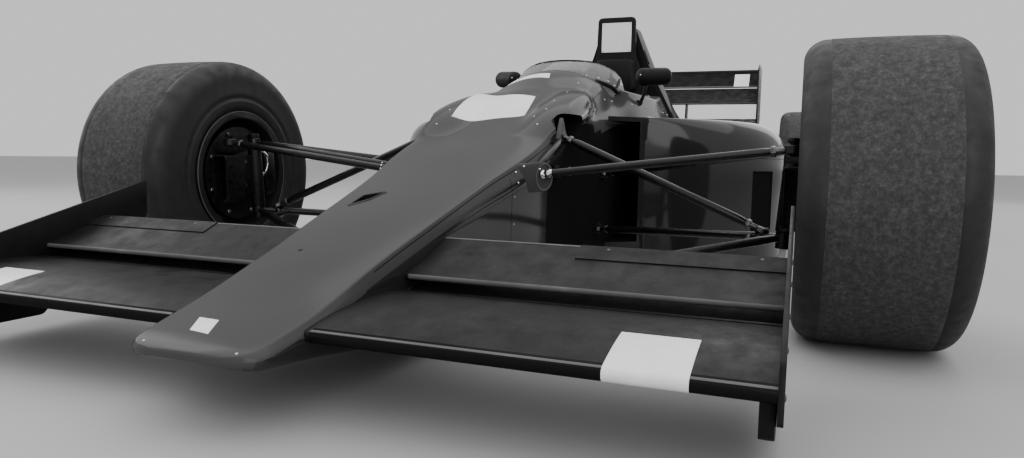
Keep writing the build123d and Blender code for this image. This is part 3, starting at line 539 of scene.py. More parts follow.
def smooth_table(rows):
    """Monotone smooth interpolation of a table whose first column is x."""
    table = np.array(rows, float)
    table = table[np.argsort(table[:, 0])]
    x, y = table[:, 0], table[:, 1:]
    h = np.diff(x)
    slope = np.diff(y, axis=0) / h[:, None]
    tangent = np.zeros_like(y)
    tangent[0], tangent[-1] = slope[0], slope[-1]
    for i in range(1, len(x) - 1):
        a, b = 2 * h[i] + h[i - 1], h[i] + 2 * h[i - 1]
        same = slope[i - 1] * slope[i] > 0
        before, after = np.where(same, slope[i - 1], 1), np.where(same, slope[i], 1)
        tangent[i] = np.where(same, (a + b) / (a / before + b / after), 0)

    def at(q):
        i = int(np.clip(np.searchsorted(x, q) - 1, 0, len(x) - 2))
        t = (q - x[i]) / h[i]
        return ((1 + 2 * t) * (1 - t) ** 2 * y[i] + t * (1 - t) ** 2 * h[i] * tangent[i]
                + t * t * (3 - 2 * t) * y[i + 1] + t * t * (t - 1) * h[i] * tangent[i + 1])
    return at


def rounded_path(points, radii, arcs, runs):
    """Points along a polyline with rounded corners; each stretch has its own number of points."""
    points = [np.array(p, float) for p in points]
    line = []
    start = points[0]
    for i in range(1, len(points) - 1):
        back = points[i - 1] - points[i]
        on = points[i + 1] - points[i]
        cut = min(radii[i - 1], 0.48 * np.linalg.norm(back), 0.48 * np.linalg.norm(on))
        first = points[i] + back / np.linalg.norm(back) * cut
        last = points[i] + on / np.linalg.norm(on) * cut
        line += [start + (first - start) * t for t in np.linspace(0, 1, runs[i - 1], endpoint=False)]
        line += [(1 - t) ** 2 * first + 2 * t * (1 - t) * points[i] + t * t * last
                 for t in np.linspace(0, 1, arcs[i - 1], endpoint=False)]
        start = last
    return line + [start + (points[-1] - start) * t for t in np.linspace(0, 1, runs[-1])]


# The crown takes the last share of the top's half width. The corners' radii are multiples of
# the row's own, and each corner and straight has its number of points.
CROWN_SHARE, CROWN_POINTS = 0.9, 17
LOW_CORNER, SIDE_CORNER = 1.5, 3.0
CORNER_POINTS, STRAIGHT_POINTS = [6, 8, 10], [4, 8, 18, 4]


def section(x, row, edge, move=None):
    """One closed ring of the body: bottom, side and crowned top, mirrored."""
    top, z_top, side, z_side, low, z_low, corner, crown = row
    crown_foot = (CROWN_SHARE * top, z_top + crown * (1 - CROWN_SHARE ** 2))
    right = rounded_path(
        [(0, z_low), (low, z_low), (side, z_side), (top, z_top), crown_foot],
        [corner * LOW_CORNER, corner * SIDE_CORNER, edge], CORNER_POINTS, STRAIGHT_POINTS,
    )
    shares = np.linspace(CROWN_SHARE, 0, CROWN_POINTS)[1:]
    right = np.array(right + [(top * t, z_top + crown * (1 - t * t)) for t in shares])
    if move is not None:
        right = move(x, right)
    left = right[-2:0:-1] * (-1, 1)
    return [car(x, y, z) for y, z in np.vstack([right, left])]


# Columns: x, half width and height of the top edge, of the side, of the bottom edge,
# corner radius, rise of the crown
HULL = [
    (930, 106, 127, 118, 110, 108, 92, 6, 3), (830, 112, 152, 123, 134, 114, 83, 8, 4),
    (700, 114, 194, 125, 168, 118, 66, 10, 5), (520, 126, 252, 137, 222, 130, 52, 12, 6),
    (300, 144, 322, 157, 286, 152, 52, 14, 7), (80, 172, 396, 188, 352, 184, 52, 16, 10),
    (-100, 172, 456, 197, 400, 195, 52, 18, 22), (-350, 158, 537, 202, 450, 202, 52, 20, 46),
    (-600, 150, 612, 212, 500, 212, 52, 26, 48), (-840, 208, 604, 242, 520, 236, 52, 24, 20),
    (-1100, 226, 606, 258, 520, 248, 52, 24, 16), (-1425, 190, 640, 250, 520, 240, 52, 24, 10),
]
hull_at = smooth_table(HULL)
NOSE_X, TIP_X, TIP_Z, HULL_REAR = 930.0, 975.0, 106.0, -1425.0
# The rounded tip: its angles, its steeper slope, its top edge, and the powers of its width,
# its top and its chin
TIP_ANGLES = (89.7, 89, 88, 86, 83, 79, 74, 68, 60, 50, 38, 26, 12)
SLOPE_RUN, TIP_STEEPER, TIP_EDGE = 12, 1.12, 7
TIP_SLOPE = (hull_at(NOSE_X)[1] - hull_at(NOSE_X - SLOPE_RUN)[1]) / SLOPE_RUN
WIDE_POWER, TALL_POWER, CHIN_POWER = 3.2, 6, 1.7
# Steps between the sections, finer along the blisters
COARSE_STEP, FINE_STEP, FINE_FROM, FINE_TO = 26.0, 8.0, 20, -460
# Radius of the top edge at the nose, its gain behind the front axle, and over which length
TOP_EDGE, TOP_EDGE_GAIN, TOP_EDGE_RUN = 3, 22, 600
COVER_LINE = ((930.0, 127.0), (-100.0, 456.0))
COVER_DEPTH = 14.0
NOSE_JOINT = 320.0
NOSE_LINE_END = 690.0
# Behind this distance from the front axle and below this height, in metres, the tub's side takes the darkest
# painted shade
TUB_SHADE_FRONT, TUB_SHADE_TOP = 0.04, 0.47
SIDE_SEAM = 215.0
BLISTER_FRONT, BLISTER_REAR, BLISTER_Y = (5.0, 432.0), (-420.0, 545.0), 148.0
BLISTER_FULL, BLISTER_RADIUS, BLISTER_BLEND = 150.0, 52.0, 60.0
# Rays from a root below and inside the blister search this far, in these steps
BLISTER_ROOT, BLISTER_REACH, BLISTER_STEP, BLISTER_SLOPE = (45.0, 60.0), 110, 0.5, 0.8
# Nothing moves below this height, and the swell is evened out along and round the body
BLISTER_LOW, BLISTER_PASSES, ROUND_PASSES = 300, 24, 6
SWELL_FROM, SWELL_TO = 0.04, 0.115
# Faces whose normals point further up or ahead than this keep the lit paint; the others take painted shade
LOOKS_UP, LOOKS_AHEAD = 0.2, 0.75
# Height from which rays look down at the body
ABOVE = 1200


def cover_height(x):
    """Height of the line that the nose cover's seam follows."""
    (x0, z0), (x1, z1) = COVER_LINE
    return z0 + (z1 - z0) * (x0 - x) / (x0 - x1)


def hull_top(x, y):
    """Height of the body's upper surface, without the blisters, all in millimetres."""
    top, z_top, side, z_side, _, z_low, _, crown = hull_at(x)
    y = abs(y)
    if y <= top:
        return z_top + crown * (1 - (y / top) ** 2)
    if y <= side:
        return z_top + (z_side - z_top) * (y - top) / (side - top)
    return z_low


def blister(x, right):
    """Swell the right half of a section out to the blister's round section, softly."""
    run = BLISTER_FRONT[0] - BLISTER_REAR[0]
    share = (BLISTER_FRONT[0] - x) / run
    if not 0 < share < 1:
        return right
    full = BLISTER_FULL / run
    part = (full - share) / full if share < full else (share - full) / (1 - full)
    radius = BLISTER_RADIUS * sqrt(1 - part ** 2)
    height = BLISTER_FRONT[1] + (BLISTER_REAR[1] - BLISTER_FRONT[1]) * share
    blend = BLISTER_BLEND * (radius / BLISTER_RADIUS) ** 0.5
    middle = np.array([BLISTER_Y, height])
    root = middle - BLISTER_ROOT
    ray = right - root
    far = np.linalg.norm(ray, axis=1)
    ray = ray / far[:, None]
    steps = np.arange(0, BLISTER_REACH, BLISTER_STEP)
    spots = right[:, None] + ray[:, None] * steps[None, :, None]
    to_hull = steps[None, :] * BLISTER_SLOPE
    to_round = np.linalg.norm(spots - middle, axis=2) - radius
    near = np.clip(blend - abs(to_hull - to_round), 0, None) / blend
    inside = np.minimum(to_hull, to_round) - near ** 2 * blend / 4 <= 0
    last = np.where(inside.any(axis=1), steps.size - 1 - inside[:, ::-1].argmax(axis=1), 0)
    moved = right + ray * steps[last][:, None]
    still = right[:, 1] < BLISTER_LOW
    moved[still] = right[still]
    moved[:, 0] = np.where(right[:, 0] < 1e-6, 0, moved[:, 0])
    return moved


def eased(share, power):
    """Size left near the tip, from 1 at its root to 0 at its end."""
    return (1 - share ** power) ** (1 / power)


def tip_rings():
    """Sections of the rounded tip, each power giving its own roundness."""
    rings = []
    for angle in TIP_ANGLES:
        s = sin(radians(angle))
        x = NOSE_X + (TIP_X - NOSE_X) * s
        row = list(hull_at(NOSE_X))
        wide, tall, chin = (eased(s, power) for power in (WIDE_POWER, TALL_POWER, CHIN_POWER))
        row[1] += (x - NOSE_X) * TIP_SLOPE * TIP_STEEPER
        for k in (0, 2, 4):
            row[k] *= wide
        row[1] = TIP_Z + (row[1] - TIP_Z) * tall
        for k in (3, 5):
            row[k] = TIP_Z + (row[k] - TIP_Z) * chin
        row[7] *= tall
        rings.append(section(x, row, TIP_EDGE * tall + 1))
    return rings


def hull_rings():
    """All sections of the body, close together along the blisters."""
    stations = list(np.arange(NOSE_X, FINE_FROM, -COARSE_STEP))
    stations += list(np.arange(FINE_FROM, FINE_TO, -FINE_STEP))
    stations += list(np.arange(FINE_TO, HULL_REAR, -COARSE_STEP)) + [HULL_REAR]
    plain, moved = [], []
    for x in stations:
        edge = TOP_EDGE + TOP_EDGE_GAIN * min(1, max(0, -x / TOP_EDGE_RUN))
        plain.append(section(x, hull_at(x), edge))
        moved.append(section(x, hull_at(x), edge, blister))
    plain = np.array(plain)
    swell = np.array(moved) - plain
    out = np.clip((abs(plain[:, :, 1]) - SWELL_FROM) / (SWELL_TO - SWELL_FROM), 0, 1)
    swell *= (out * out * (3 - 2 * out))[:, :, None]
    for _ in range(BLISTER_PASSES):
        swell[1:-1] = (swell[:-2] + 2 * swell[1:-1] + swell[2:]) / 4
    for _ in range(ROUND_PASSES):
        swell = (np.roll(swell, 1, axis=1) + 2 * swell + np.roll(swell, -1, axis=1)) / 4
    return tip_rings() + list(plain + swell)


COVER_REAR, COVER_FAR, COVER_BELOW, COVER_ABOVE, COVER_HALF = -600, 1300, -100, 1200, 500


def cover_region(gap, wall):
    """The space of the nose and its long cover, with its walls moved by gaps."""
    rear, joint, across = COVER_REAR + gap, NOSE_JOINT + wall, (0, 2 * COVER_HALF / 1000, 0)
    far_z, rear_z = (cover_height(x) - COVER_DEPTH + gap for x in (COVER_FAR, COVER_REAR))
    line = [(COVER_FAR, far_z), (rear, rear_z), (rear, COVER_ABOVE), (COVER_FAR, COVER_ABOVE)]
    corners = [(joint, COVER_BELOW), (joint, COVER_ABOVE), (COVER_FAR, COVER_ABOVE), (COVER_FAR, COVER_BELOW)]
    wedge, block = (prism([car(x, -COVER_HALF, z) for x, z in outline], across, SEAM)
                    for outline in (line, corners))
    return boolean(wedge, [block], "UNION")


COCKPIT = [(-640, 110), (-770, 150), (-1130, 196), (-1370, 150)]
FOOTWELL = [(-260, 135), (-700, 135), (-700, -135), (-260, -135)]
POCKET = [(-22, 412), (-150, 412), (-202, 462), (-196, 490), (-80, 490), (-34, 466)]
INLET = [(458, -89), (400, -88), (382, -44), (426, -58)]


def round_loop(corners, radius, arc=5):
    """A closed loop of 2-D corners, rounded."""
    count = len(corners)
    loop = []
    for i in range(count):
        here, back, on = (np.array(corners[(i + k) % count], float) for k in (0, -1, 1))
        cut = min(radius, 0.45 * np.linalg.norm(back - here), 0.45 * np.linalg.norm(on - here))
        first = here + (back - here) / np.linalg.norm(back - here) * cut
        last = here + (on - here) / np.linalg.norm(on - here) * cut
        loop += [(1 - t) ** 2 * first + 2 * t * (1 - t) * here + t * t * last for t in np.linspace(0, 1, arc)]
    return loop


COCKPIT_LOOP = round_loop(COCKPIT + [(x, -y) for x, y in reversed(COCKPIT)], 60, 8)
INLET_LOOP = round_loop(INLET, 5, 4)
# Floor height in millimetres, and how far the openings rise from it, in metres
COCKPIT_FLOOR, COCKPIT_RISE, FOOTWELL_RISE = 92, 0.66, 0.308
POCKET_Y, POCKET_DEEP, INLET_RISE = 150, 0.2, 0.2
SEAM_HALF, SEAM_DEEP, SEAM_OUT, SEAM_LOW, SEAM_TALL = 0.8, 9, 260, 70, 0.26
COVER_GAP, JOINT_GAP = 0.7, 0.03


def body_cutters():
    """Pockets of the rockers, cockpit, footwell, inlet and side seams."""
    # The faces these cut take the cutters' dark paint, a painted shade, and the side seams take the seam
    # filler.
    cutters = []
    for side in (1, -1):
        outline = [car(x, POCKET_Y * side, z) for x, z in round_loop(POCKET, 16)]
        cutters.append(prism(outline, (0, POCKET_DEEP * side, 0)))
    for loop, rise in ((COCKPIT_LOOP, COCKPIT_RISE), (FOOTWELL, FOOTWELL_RISE)):
        cutters.append(prism([car(x, y, COCKPIT_FLOOR) for x, y in loop], (0, 0, rise)))
    inlet = [car(x, y, cover_height(x) - COVER_DEPTH) for x, y in INLET_LOOP]
    cutters.append(prism(inlet, (0, 0, INLET_RISE)))
    inner = hull_at(SIDE_SEAM)[2] - SEAM_DEEP
    wall = [(SEAM_HALF, inner), (-SEAM_HALF, inner), (-SEAM_HALF, SEAM_OUT), (SEAM_HALF, SEAM_OUT)]
    for side in (1, -1):
        outline = [car(SIDE_SEAM + ahead, y * side, SEAM_LOW) for ahead, y in wall]
        cutters.append(prism(outline, (0, 0, SEAM_TALL), SEAM))
    return cutters


def body():
    """Nose, cover and tub: one lofted shape, cut open and split along its seam."""
    verts, faces = skin(hull_rings())
    hull = made("tub_skin", verts, faces, BODY, None)
    surface = BVHTree.FromPolygons([tuple(v) for v in verts], [tuple(f) for f in faces])
    boolean(hull, body_cutters())
    nose = copied(hull, "nose_skin")
    boolean(nose, [cover_region(COVER_GAP, JOINT_GAP)], "INTERSECT")
    boolean(hull, [cover_region(-COVER_GAP, -JOINT_GAP)])
    nose_line(nose)
    for piece, node in ((nose, "nose_cone"), (hull, "tub")):
        dress(piece, "chassis", 28)
        paint_shade_on_flanks(piece)
        settled(piece)
        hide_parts(node)
    return surface


def split_at(piece, planes):
    """Cut a mesh's faces along planes of (point, normal), so that paint can change there."""
    work = bmesh.new()
    work.from_mesh(piece.data)
    for point, normal in planes:
        parts = list(work.verts) + list(work.edges) + list(work.faces)
        bmesh.ops.bisect_plane(work, geom=parts, dist=1e-6, plane_co=point, plane_no=normal)
    work.to_mesh(piece.data)
    work.free()


def paint_shade_on_flanks(piece):
    """Paint shade on the faces that look sideways or down, with darker copies of the body paint and the
    darkest on the tub's side.
    """
    split_at(piece, [((AXLE + TUB_SHADE_FRONT, 0, 0), (1, 0, 0)), ((0, 0, TUB_SHADE_TOP), (0, 0, 1))])
    data = piece.data
    first = len(data.materials)
    data.materials.append(BODY_SHADED)
    data.materials.append(TUB_SHADED)
    for poly in data.polygons:
        if data.materials[poly.material_index] is not BODY or poly.normal.z > LOOKS_UP:
            continue
        # Faces behind the tub's line and below its height take the darkest painted shade.
        back = poly.center.x < AXLE + TUB_SHADE_FRONT
        if abs(poly.normal.x) < LOOKS_AHEAD or back:
            poly.material_index = first + int(back and poly.center.z < TUB_SHADE_TOP)


def settled(piece):
    """Even out the shading of the large faces that cuts leave."""
    step = piece.modifiers.new("normals", "WEIGHTED_NORMAL")
    step.keep_sharp = True
    return applied(piece)


# The nose groove's corners, as distances out from the flank and up from the seam
NOSE_GROOVE = ((-14, -0.8), (12, -0.8), (12, 0.8), (-14, 0.8))


def nose_line(nose):
    """The cover's seam goes on along the nose's flanks, as a fine groove."""
    for side in (1, -1):
        rings = []
        for x in np.linspace(NOSE_JOINT - 5, NOSE_LINE_END, 14):
            z = cover_height(x) - COVER_DEPTH
            rings.append([car(x, (hull_at(x)[2] + out) * side, z + up) for out, up in NOSE_GROOVE])
        boolean(nose, [cut_shape(rings, SEAM)])


SURFACE = body()


def on_body(x, y, lift):
    """A point on the body's upper surface, lifted by a little."""
    place = SURFACE.ray_cast(Vector(car(x, y, ABOVE)), Vector((0, 0, -1)))[0]
    return (place.x, place.y, place.z + lift / 1000)


def body_patch(name, corners, material, lift=0.7, rows=18):
    """A thin patch laid on the upper surface, from its four corners in plan."""
    a, b, c, d = (np.array(p, float) for p in corners)
    grid = []
    for s in np.linspace(0, 1, rows):
        left, right = a + (d - a) * s, b + (c - b) * s
        grid.append([on_body(*(left + (right - left) * t), lift) for t in np.linspace(0, 1, rows)])
    top, faces = sheet(grid)
    under = np.array(top) - (0, 0, (lift + 0.6) / 1000)
    count = len(top)
    loop = list(range(rows)) + [i * rows + rows - 1 for i in range(1, rows)]
    loop += [(rows - 1) * rows + i for i in range(rows - 2, -1, -1)]
    loop += [i * rows for i in range(rows - 2, 0, -1)]
    edge = [(p, q, q + count, p + count) for p, q in zip(loop, loop[1:] + loop[:1])]
    below = [tuple(f + count for f in face) for face in faces]
    return made(name, np.vstack([top, under]), faces + edge + below, material, "chassis", 60)


# Columns as in HULL
ENGINE_COVER = [
    (-1425, 64, 936, 108, 790, 264, 505, 10, 14), (-1600, 62, 945, 130, 785, 266, 505, 10, 18),
    (-1760, 56, 880, 118, 735, 264, 505, 10, 16), (-2150, 52, 690, 108, 620, 250, 505, 10, 12),
    (-2620, 52, 556, 104, 540, 176, 505, 8, 6),
]
ENGINE_FRONT_X, ENGINE_REAR_X, ENGINE_EDGE = -1425.5, -2620, 40
ENGINE_SLOT = [(-1505, 848), (-1522, 848), (-1519, 786), (-1502, 786)]
SLOT_Y, SLOT_DEEP = 70, 0.06
HOOP_REAR = AXLE - 1.5


def engine_cover():
    """The cover behind the driver, with a slot in each flank and black paint round the roll hoop."""
    at = smooth_table(ENGINE_COVER)
    rings = [section(x, at(x), ENGINE_EDGE) for x in np.linspace(ENGINE_FRONT_X, ENGINE_REAR_X, 80)]
    # The cover's skin takes the darker copy of the body paint, a painted shade.
    piece = made("engine_cover_skin", *skin(rings), COVER_SHADED, None)
    for side in (1, -1):
        outline = [car(x, SLOT_Y * side, z) for x, z in ENGINE_SLOT]
        boolean(piece, [prism(outline, (0, SLOT_DEEP * side, 0))])
    split_at(piece, [((HOOP_REAR, 0, 0), (1, 0, 0))])
    piece.data.materials.append(BLACK)
    for poly in piece.data.polygons:
        if poly.center.x > HOOP_REAR:
            poly.material_index = 1
    dress(piece, "chassis", 34)
    settled(piece)
    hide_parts("engine_cover")


engine_cover()

LIP_ROOT_X, LIP_X, LIP_Y, POD_HALF = -470.0, -550.0, 305.0, 700.0
POD_FULL_X, POD_TAPER_X, POD_REAR, POD_INNER, POD_TOP = -1000.0, -1850.0, -2350.0, 178.0, 505.0
POD_TAPER_RADIUS, POD_BOW_POINTS = 700.0, 40
POD_LOW, POD_DUCT_LOW, POD_EDGE, POD_WALL, POD_INNER_WALL, POD_MOUTH = 52, 124, 100, 14, 12, 40.0
# The seam and the recess, and how far their cutters stand out of the pod
POD_SEAM_Z, POD_SEAM_DEEP, POD_SEAM_POINTS = (385.2, 386.8), 1.2, 44
POD_WINDOW_X, POD_WINDOW_Z, POD_WINDOW_DEEP = (-0.728, -0.845), (156.0, 346.0), 6
POD_CUT_OUT = 4


def hull_side(x):
    """The CAD body's half width at its side, straight between the rows of HULL."""
    for ahead, behind in zip(HULL, HULL[1:]):
        if behind[0] <= x <= ahead[0]:
            share = (ahead[0] - x) / (ahead[0] - behind[0])
            return ahead[3] + (behind[3] - ahead[3]) * share
    return HULL[-1][3]


def pod_ring(inset, lip_inset, shift, z, ahead=0.0):
    """The left pod's outline in plan at a height, set in from its outer line and its lip."""
    full, lip_y = POD_HALF - inset, LIP_Y - lip_inset
    run = LIP_X - POD_FULL_X
    bow = (run ** 2 + (full - lip_y) ** 2) / (2 * (full - lip_y))
    start = atan2(run, lip_y - full + bow)
    points = [(POD_FULL_X + bow * sin(t), full - bow + bow * cos(t))
              for t in np.linspace(start, 0, POD_BOW_POINTS)]
    points += [(x, full) for x in np.linspace(POD_FULL_X, POD_TAPER_X, 20)[1:]]
    run = POD_TAPER_X - POD_REAR
    taper = POD_TAPER_RADIUS - inset
    points += [(POD_TAPER_X - run * t, POD_HALF - POD_TAPER_RADIUS + sqrt(taper ** 2 - (run * t) ** 2))
               for t in np.linspace(0, 1, 20)[1:]]
    points += [(POD_REAR, POD_INNER - shift), (HULL_REAR, POD_INNER - shift)]
    points += [(x, hull_side(x) + 0.3 - shift) for x in (HULL_REAR, -1100, -840, -600, LIP_ROOT_X + ahead)]
    if ahead:
        points.append((LIP_X + ahead, lip_y))
    return [car(x, y, z) for x, y in points]


def pod_levels(low, shoulder, first, count):
    """Rows of height and inset: an upright wall, then a rounded top edge."""
    turns = np.linspace(first, pi / 2, count)
    edge = [(shoulder + POD_EDGE * sin(t), POD_EDGE * (1 - cos(t))) for t in turns]
    return [(low, 0), (shoulder, 0)] + edge


def pod_cut(depth, heights, picked, side, material):
    """A cutter along the pod's outline between two heights, for the picked points of it."""
    deep, out = (np.array([pod_ring(inset, inset, 0, z) for z in heights])[:, picked]
                 for inset in (depth, -POD_CUT_OUT))
    return cut_shape(np.concatenate([deep, out[:, ::-1]], axis=1) * (1, side, 1), material)


def side_pods():
    """Hollow pods with rounded top edges, a seam round the nose and a shallow recess in the flank."""
    shoulder = POD_TOP - POD_EDGE
    levels = pod_levels(POD_LOW, shoulder, 0.1, 14)
    inner_levels = pod_levels(POD_DUCT_LOW, shoulder - POD_WALL, 0.2, 8)
    along = np.array(pod_ring(POD_WINDOW_DEEP, POD_WINDOW_DEEP, 0, 0))[:POD_BOW_POINTS, 0] - AXLE
    window = np.flatnonzero((along < POD_WINDOW_X[0]) & (along > POD_WINDOW_X[1]))
    seam = np.arange(POD_SEAM_POINTS)
    for side, name in SIDES:
        outer = np.array([pod_ring(inset, 0, 0, z) for z, inset in levels]) * (1, side, 1)
        inner = np.array([pod_ring(POD_WALL + inset, POD_WALL, POD_INNER_WALL, z, POD_MOUTH)
                          for z, inset in inner_levels]) * (1, side, 1)
        inner[:, :, 0] -= np.where(inner[:, :, 0] < AXLE + POD_REAR / 1000 + 0.0001, 0.01, 0)
        # The pods take the darker copy of the body paint, a painted shade; their inside and the recess's
        # floor take the painted shade of the cuts.
        pod = made(f"pod_skin_{name}", *skin(outer), BODY_SHADED, None)
        boolean(pod, [cut_shape(inner)])
        boolean(pod, [pod_cut(POD_SEAM_DEEP, POD_SEAM_Z, seam, side, SEAM)])
        boolean(pod, [pod_cut(POD_WINDOW_DEEP, POD_WINDOW_Z, window, side, SHADOW)])
        bevelled(pod, 0.003, 2, 50)
        dress(pod, "chassis", 30)
        settled(pod)
        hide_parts(f"side_pod_{name}")


side_pods()


# Small shapes, given in millimetres from the front axle

def bar(points, radius, count=14, flat=1.0):
    """A bar through points, oval when flat is under 1."""
    size = [r / 1000 for r in radius] if hasattr(radius, "__len__") else radius / 1000
    return skin(tube([car(*p) for p in points], size, count, flat))


def drum(start, end, radius, edge=1.5, count=32):
    """A round piece between two points, with chamfered ends."""
    a, b = Vector(car(*start)), Vector(car(*end))
    long = (b - a).length
    r, e = radius / 1000, edge / 1000
    return skin(turned([(r - e, 0), (r, e), (r, long - e), (r - e, long)], a, b - a, count))


def hoop(profile, centre, axis, count=40):
    """A ring turned from a closed outline of (radius, along)."""
    scaled = [(r / 1000, a / 1000) for r, a in profile]
    rings = turned(scaled, car(*centre), axis, count)
    return skin(rings + rings[:1], (False, False))


def toward(start, end, distance):
    """The point at a distance from start on the way to end; negative counts from the end."""
    a, b = Vector(start), Vector(end)
    way = (b - a).normalized()
    return tuple(a + way * distance) if distance >= 0 else tuple(b + way * distance)


def slab(loop, axis, levels):
    """A skin through a 2-D loop repeated at levels along axis 0, 1 or 2, in millimetres."""
    return skin([[car(*np.insert(point, axis, level)) for point in loop] for level in levels])


def plate(outline, y_from, y_to, radius=6):
    """A flat plate along the car, its outline as x and z with rounded corners."""
    return slab(round_loop(outline, radius, 4), 1, (y_from, y_to))


ROD_HOLE = 5.0


def rod_end(at, on, up=(0, 0, 1)):
    """A rod's eye with its shank and lock nut, looking from a point along the rod."""
    start, way = Vector(at), (Vector(on) - Vector(at)).normalized()
    side = way.cross(Vector(up)).normalized()
    axis = side.cross(way)
    eye = [(ROD_HOLE, -6), (13, -6), (15, -4), (15, 4), (13, 6), (ROD_HOLE, 6)]
    shank = drum(start + way * 13, start + way * 52, 6.5, 1, 16)
    nut = hexagon(car(*(start + way * 30)), way, 0.0115, 0.009)
    return [hoop(eye, at, axis, 24), shank, nut]


def flank(x, z):
    """Half width of the body at a height."""
    top, z_top, side, z_side, low, z_low = hull_at(x)[:6]
    if z >= z_side:
        return side + (top - side) * (z - z_side) / (z_top - z_side)
    return low + (side - low) * (z - z_low) / (z_side - z_low)


def top_stud(x, y, radius=5.0, height=1.8):
    """A button head on the body's upper surface."""
    normal = SURFACE.ray_cast(Vector(car(x, y, ABOVE)), Vector((0, 0, -1)))[1]
    normal = normal if normal.z > 0 else -normal
    return dome(on_body(x, y, 0), normal, radius / 1000, height / 1000)


def flank_stud(x, z, radius=5.0, height=2.0):
    """A button head on the body's left flank."""
    lean = (flank(x, z - 3) - flank(x, z + 3)) / 6
    return dome(car(x, flank(x, z), z), (0, 1, lean), radius / 1000, height / 1000)


# Details on the body

# Columns: x, y, z, radius of the housing's sections, all in millimetres
BOSS = ((222, 138, 328, 12), (206, 143, 329, 23), (186, 154, 330, 30), (160, 170, 331, 33.5),
        (101, 200, 334, 34), (97, 202, 334, 32), (97, 202, 334, 27.5), (97, 152, 334, 27.5))
BOSS_RIDGE = [(92, 184, 362), (60, 190, 375), (-30, 192, 412), (-60, 188, 424)]
BOSS_RIM = [(27.5, -2), (31.5, -2), (32.5, 0.6), (28.5, 0.6)]
BOSS_STUDS = ((200, 171, 345), (176, 181, 358), (196, 176, 322), (140, 206, 352), (128, 211, 338))


def bosses():
    """Swept housings on the flanks that the track rods leave, each with a ridge behind it."""
    across, up = Vector((0.954, -0.30, 0)), Vector((0, 0, 1))
    turns = [2 * pi * k / 48 for k in range(48)]
    rings = []
    for x, y, z, radius in BOSS:
        centre = Vector(car(x, y, z))
        rings.append([tuple(centre + (across * cos(t) + up * sin(t)) * (radius / 1000)) for t in turns])
    ridge = bar(BOSS_RIDGE, [3, 8, 8, 3])
    joined("rack_bosses", both([skin(rings, (True, False)), ridge]), BODY)
    rim = hoop(BOSS_RIM, (97, 202, 334), (0.30, 0.954, 0), 48)
    joined("rack_boss_rims", both([rim]), EDGE_WEAR_AND_HIGHLIGHT)
    studs = [dome(car(*spot), (0.3, 0.9, 0.3), 0.0024, 0.0012) for spot in BOSS_STUDS]
    joined("rack_boss_studs", both(studs), CHROME)


def body_studs():
    """Quick-release heads and rivets along the body's seams."""
    spots = [(-67, 115), (-97, 137), (-24, 139), (-176, 132), (-330, 120), (-470, 112)]
    parts = [top_stud(x, y, 2.8, 1.2) for x, y in spots] + [top_stud(961, 80, 2.2, 0.8)]
    for x in np.arange(-70, -560, -120):
        parts.append(flank_stud(x, cover_height(x) - COVER_DEPTH - 26, 3.5))
    for z in (110, 170, 230, 290):
        parts.append(flank_stud(SIDE_SEAM - 12, z, 2.6, 1.0))
    for x in np.arange(-620, -1400, -150):
        parts.append(flank_stud(x, 560, 4.0))
    joined("body_studs", both(parts), STEEL)
    joined("nose_latch", [top_stud(659, -50, 5, 0.8)], BLACK)


def body_patches():
    """Plain white fields where the car carries markings."""
    body_patch("white_panel", [(-66, -116), (-300, -150), (-266, 47), (-122, 69)], WHITE)
    body_patch("white_strip", [(-462, -116), (-505, -112), (-492, 14), (-446, 26)], WHITE)
    body_patch("small_patch", [(926, -33), (890, -50), (893, -12), (931, 4)], WHITE)


def inlet_lip():
    """A thin raised rim round the small inlet."""
    points = [(x, y, hull_top(x, y) + 0.6) for x, y in INLET_LOOP]
    joined("inlet_lip", [bar(points + points[:2], 1.6, 8)], BODY)


bosses()
body_studs()
body_patches()
inlet_lip()


# Windscreen

SCREEN_ROWS = [(-500, 178, -810, 580), (-610, 172, -860, 668), (-695, 136, -880, 716)]
SCREEN_CUT = [(-1000, 590), (-800, 600), (-745, 638), (-720, 666),
              (-690, 694), (-650, 704), (-600, 705), (-400, 716)]
SCREEN_LOW, SCREEN_MID, SCREEN_THICK = -0.3, 0.6, 4


def screen_row(row, inset):
    """One level of the screen in plan: straight sides and a round front."""
    apex, half, end, z = row
    apex, half = apex - inset, half - inset
    run = half * 0.9
    radius = (run ** 2 + half ** 2) / (2 * run)
    limit = atan2(half, radius - run)
    front = [(apex - radius + radius * cos(t), radius * sin(t), z) for t in np.linspace(limit, -limit, 49)]
    left = [(end + (front[0][0] - end) * t, half, z) for t in np.linspace(0, 1, 9)[:-1]]
    right = [(x, -y, z) for x, y, z in reversed(left)]
    return np.array(left + front + right)


def screen_columns(inset, low):
    """Lines up the screen from a level to its cut top edge."""
    a, b, c = (screen_row(row, inset) for row in SCREEN_ROWS)
    m = SCREEN_MID
    xs, zs = zip(*SCREEN_CUT)

    def at(s):
        return (a * (s - m) * (s - 1) / m + b * s * (s - 1) / (m * (m - 1)) + c * s * (s - m) / (1 - m))
    steps = np.linspace(low, 1, 261)
    grid = np.array([at(s) for s in steps])
    tall = np.interp(grid[:, :, 0], xs, zs)
    columns = []
    for j in range(grid.shape[1]):
        high = grid[:, j, 2] <= tall[:, j]
        last = steps[np.argmin(high) - 1] if not high.all() else 1.0
        last = max(last, low + 0.02)
        columns.append([at(s)[j] for s in np.linspace(low, last, 16)])
    return np.array(columns)


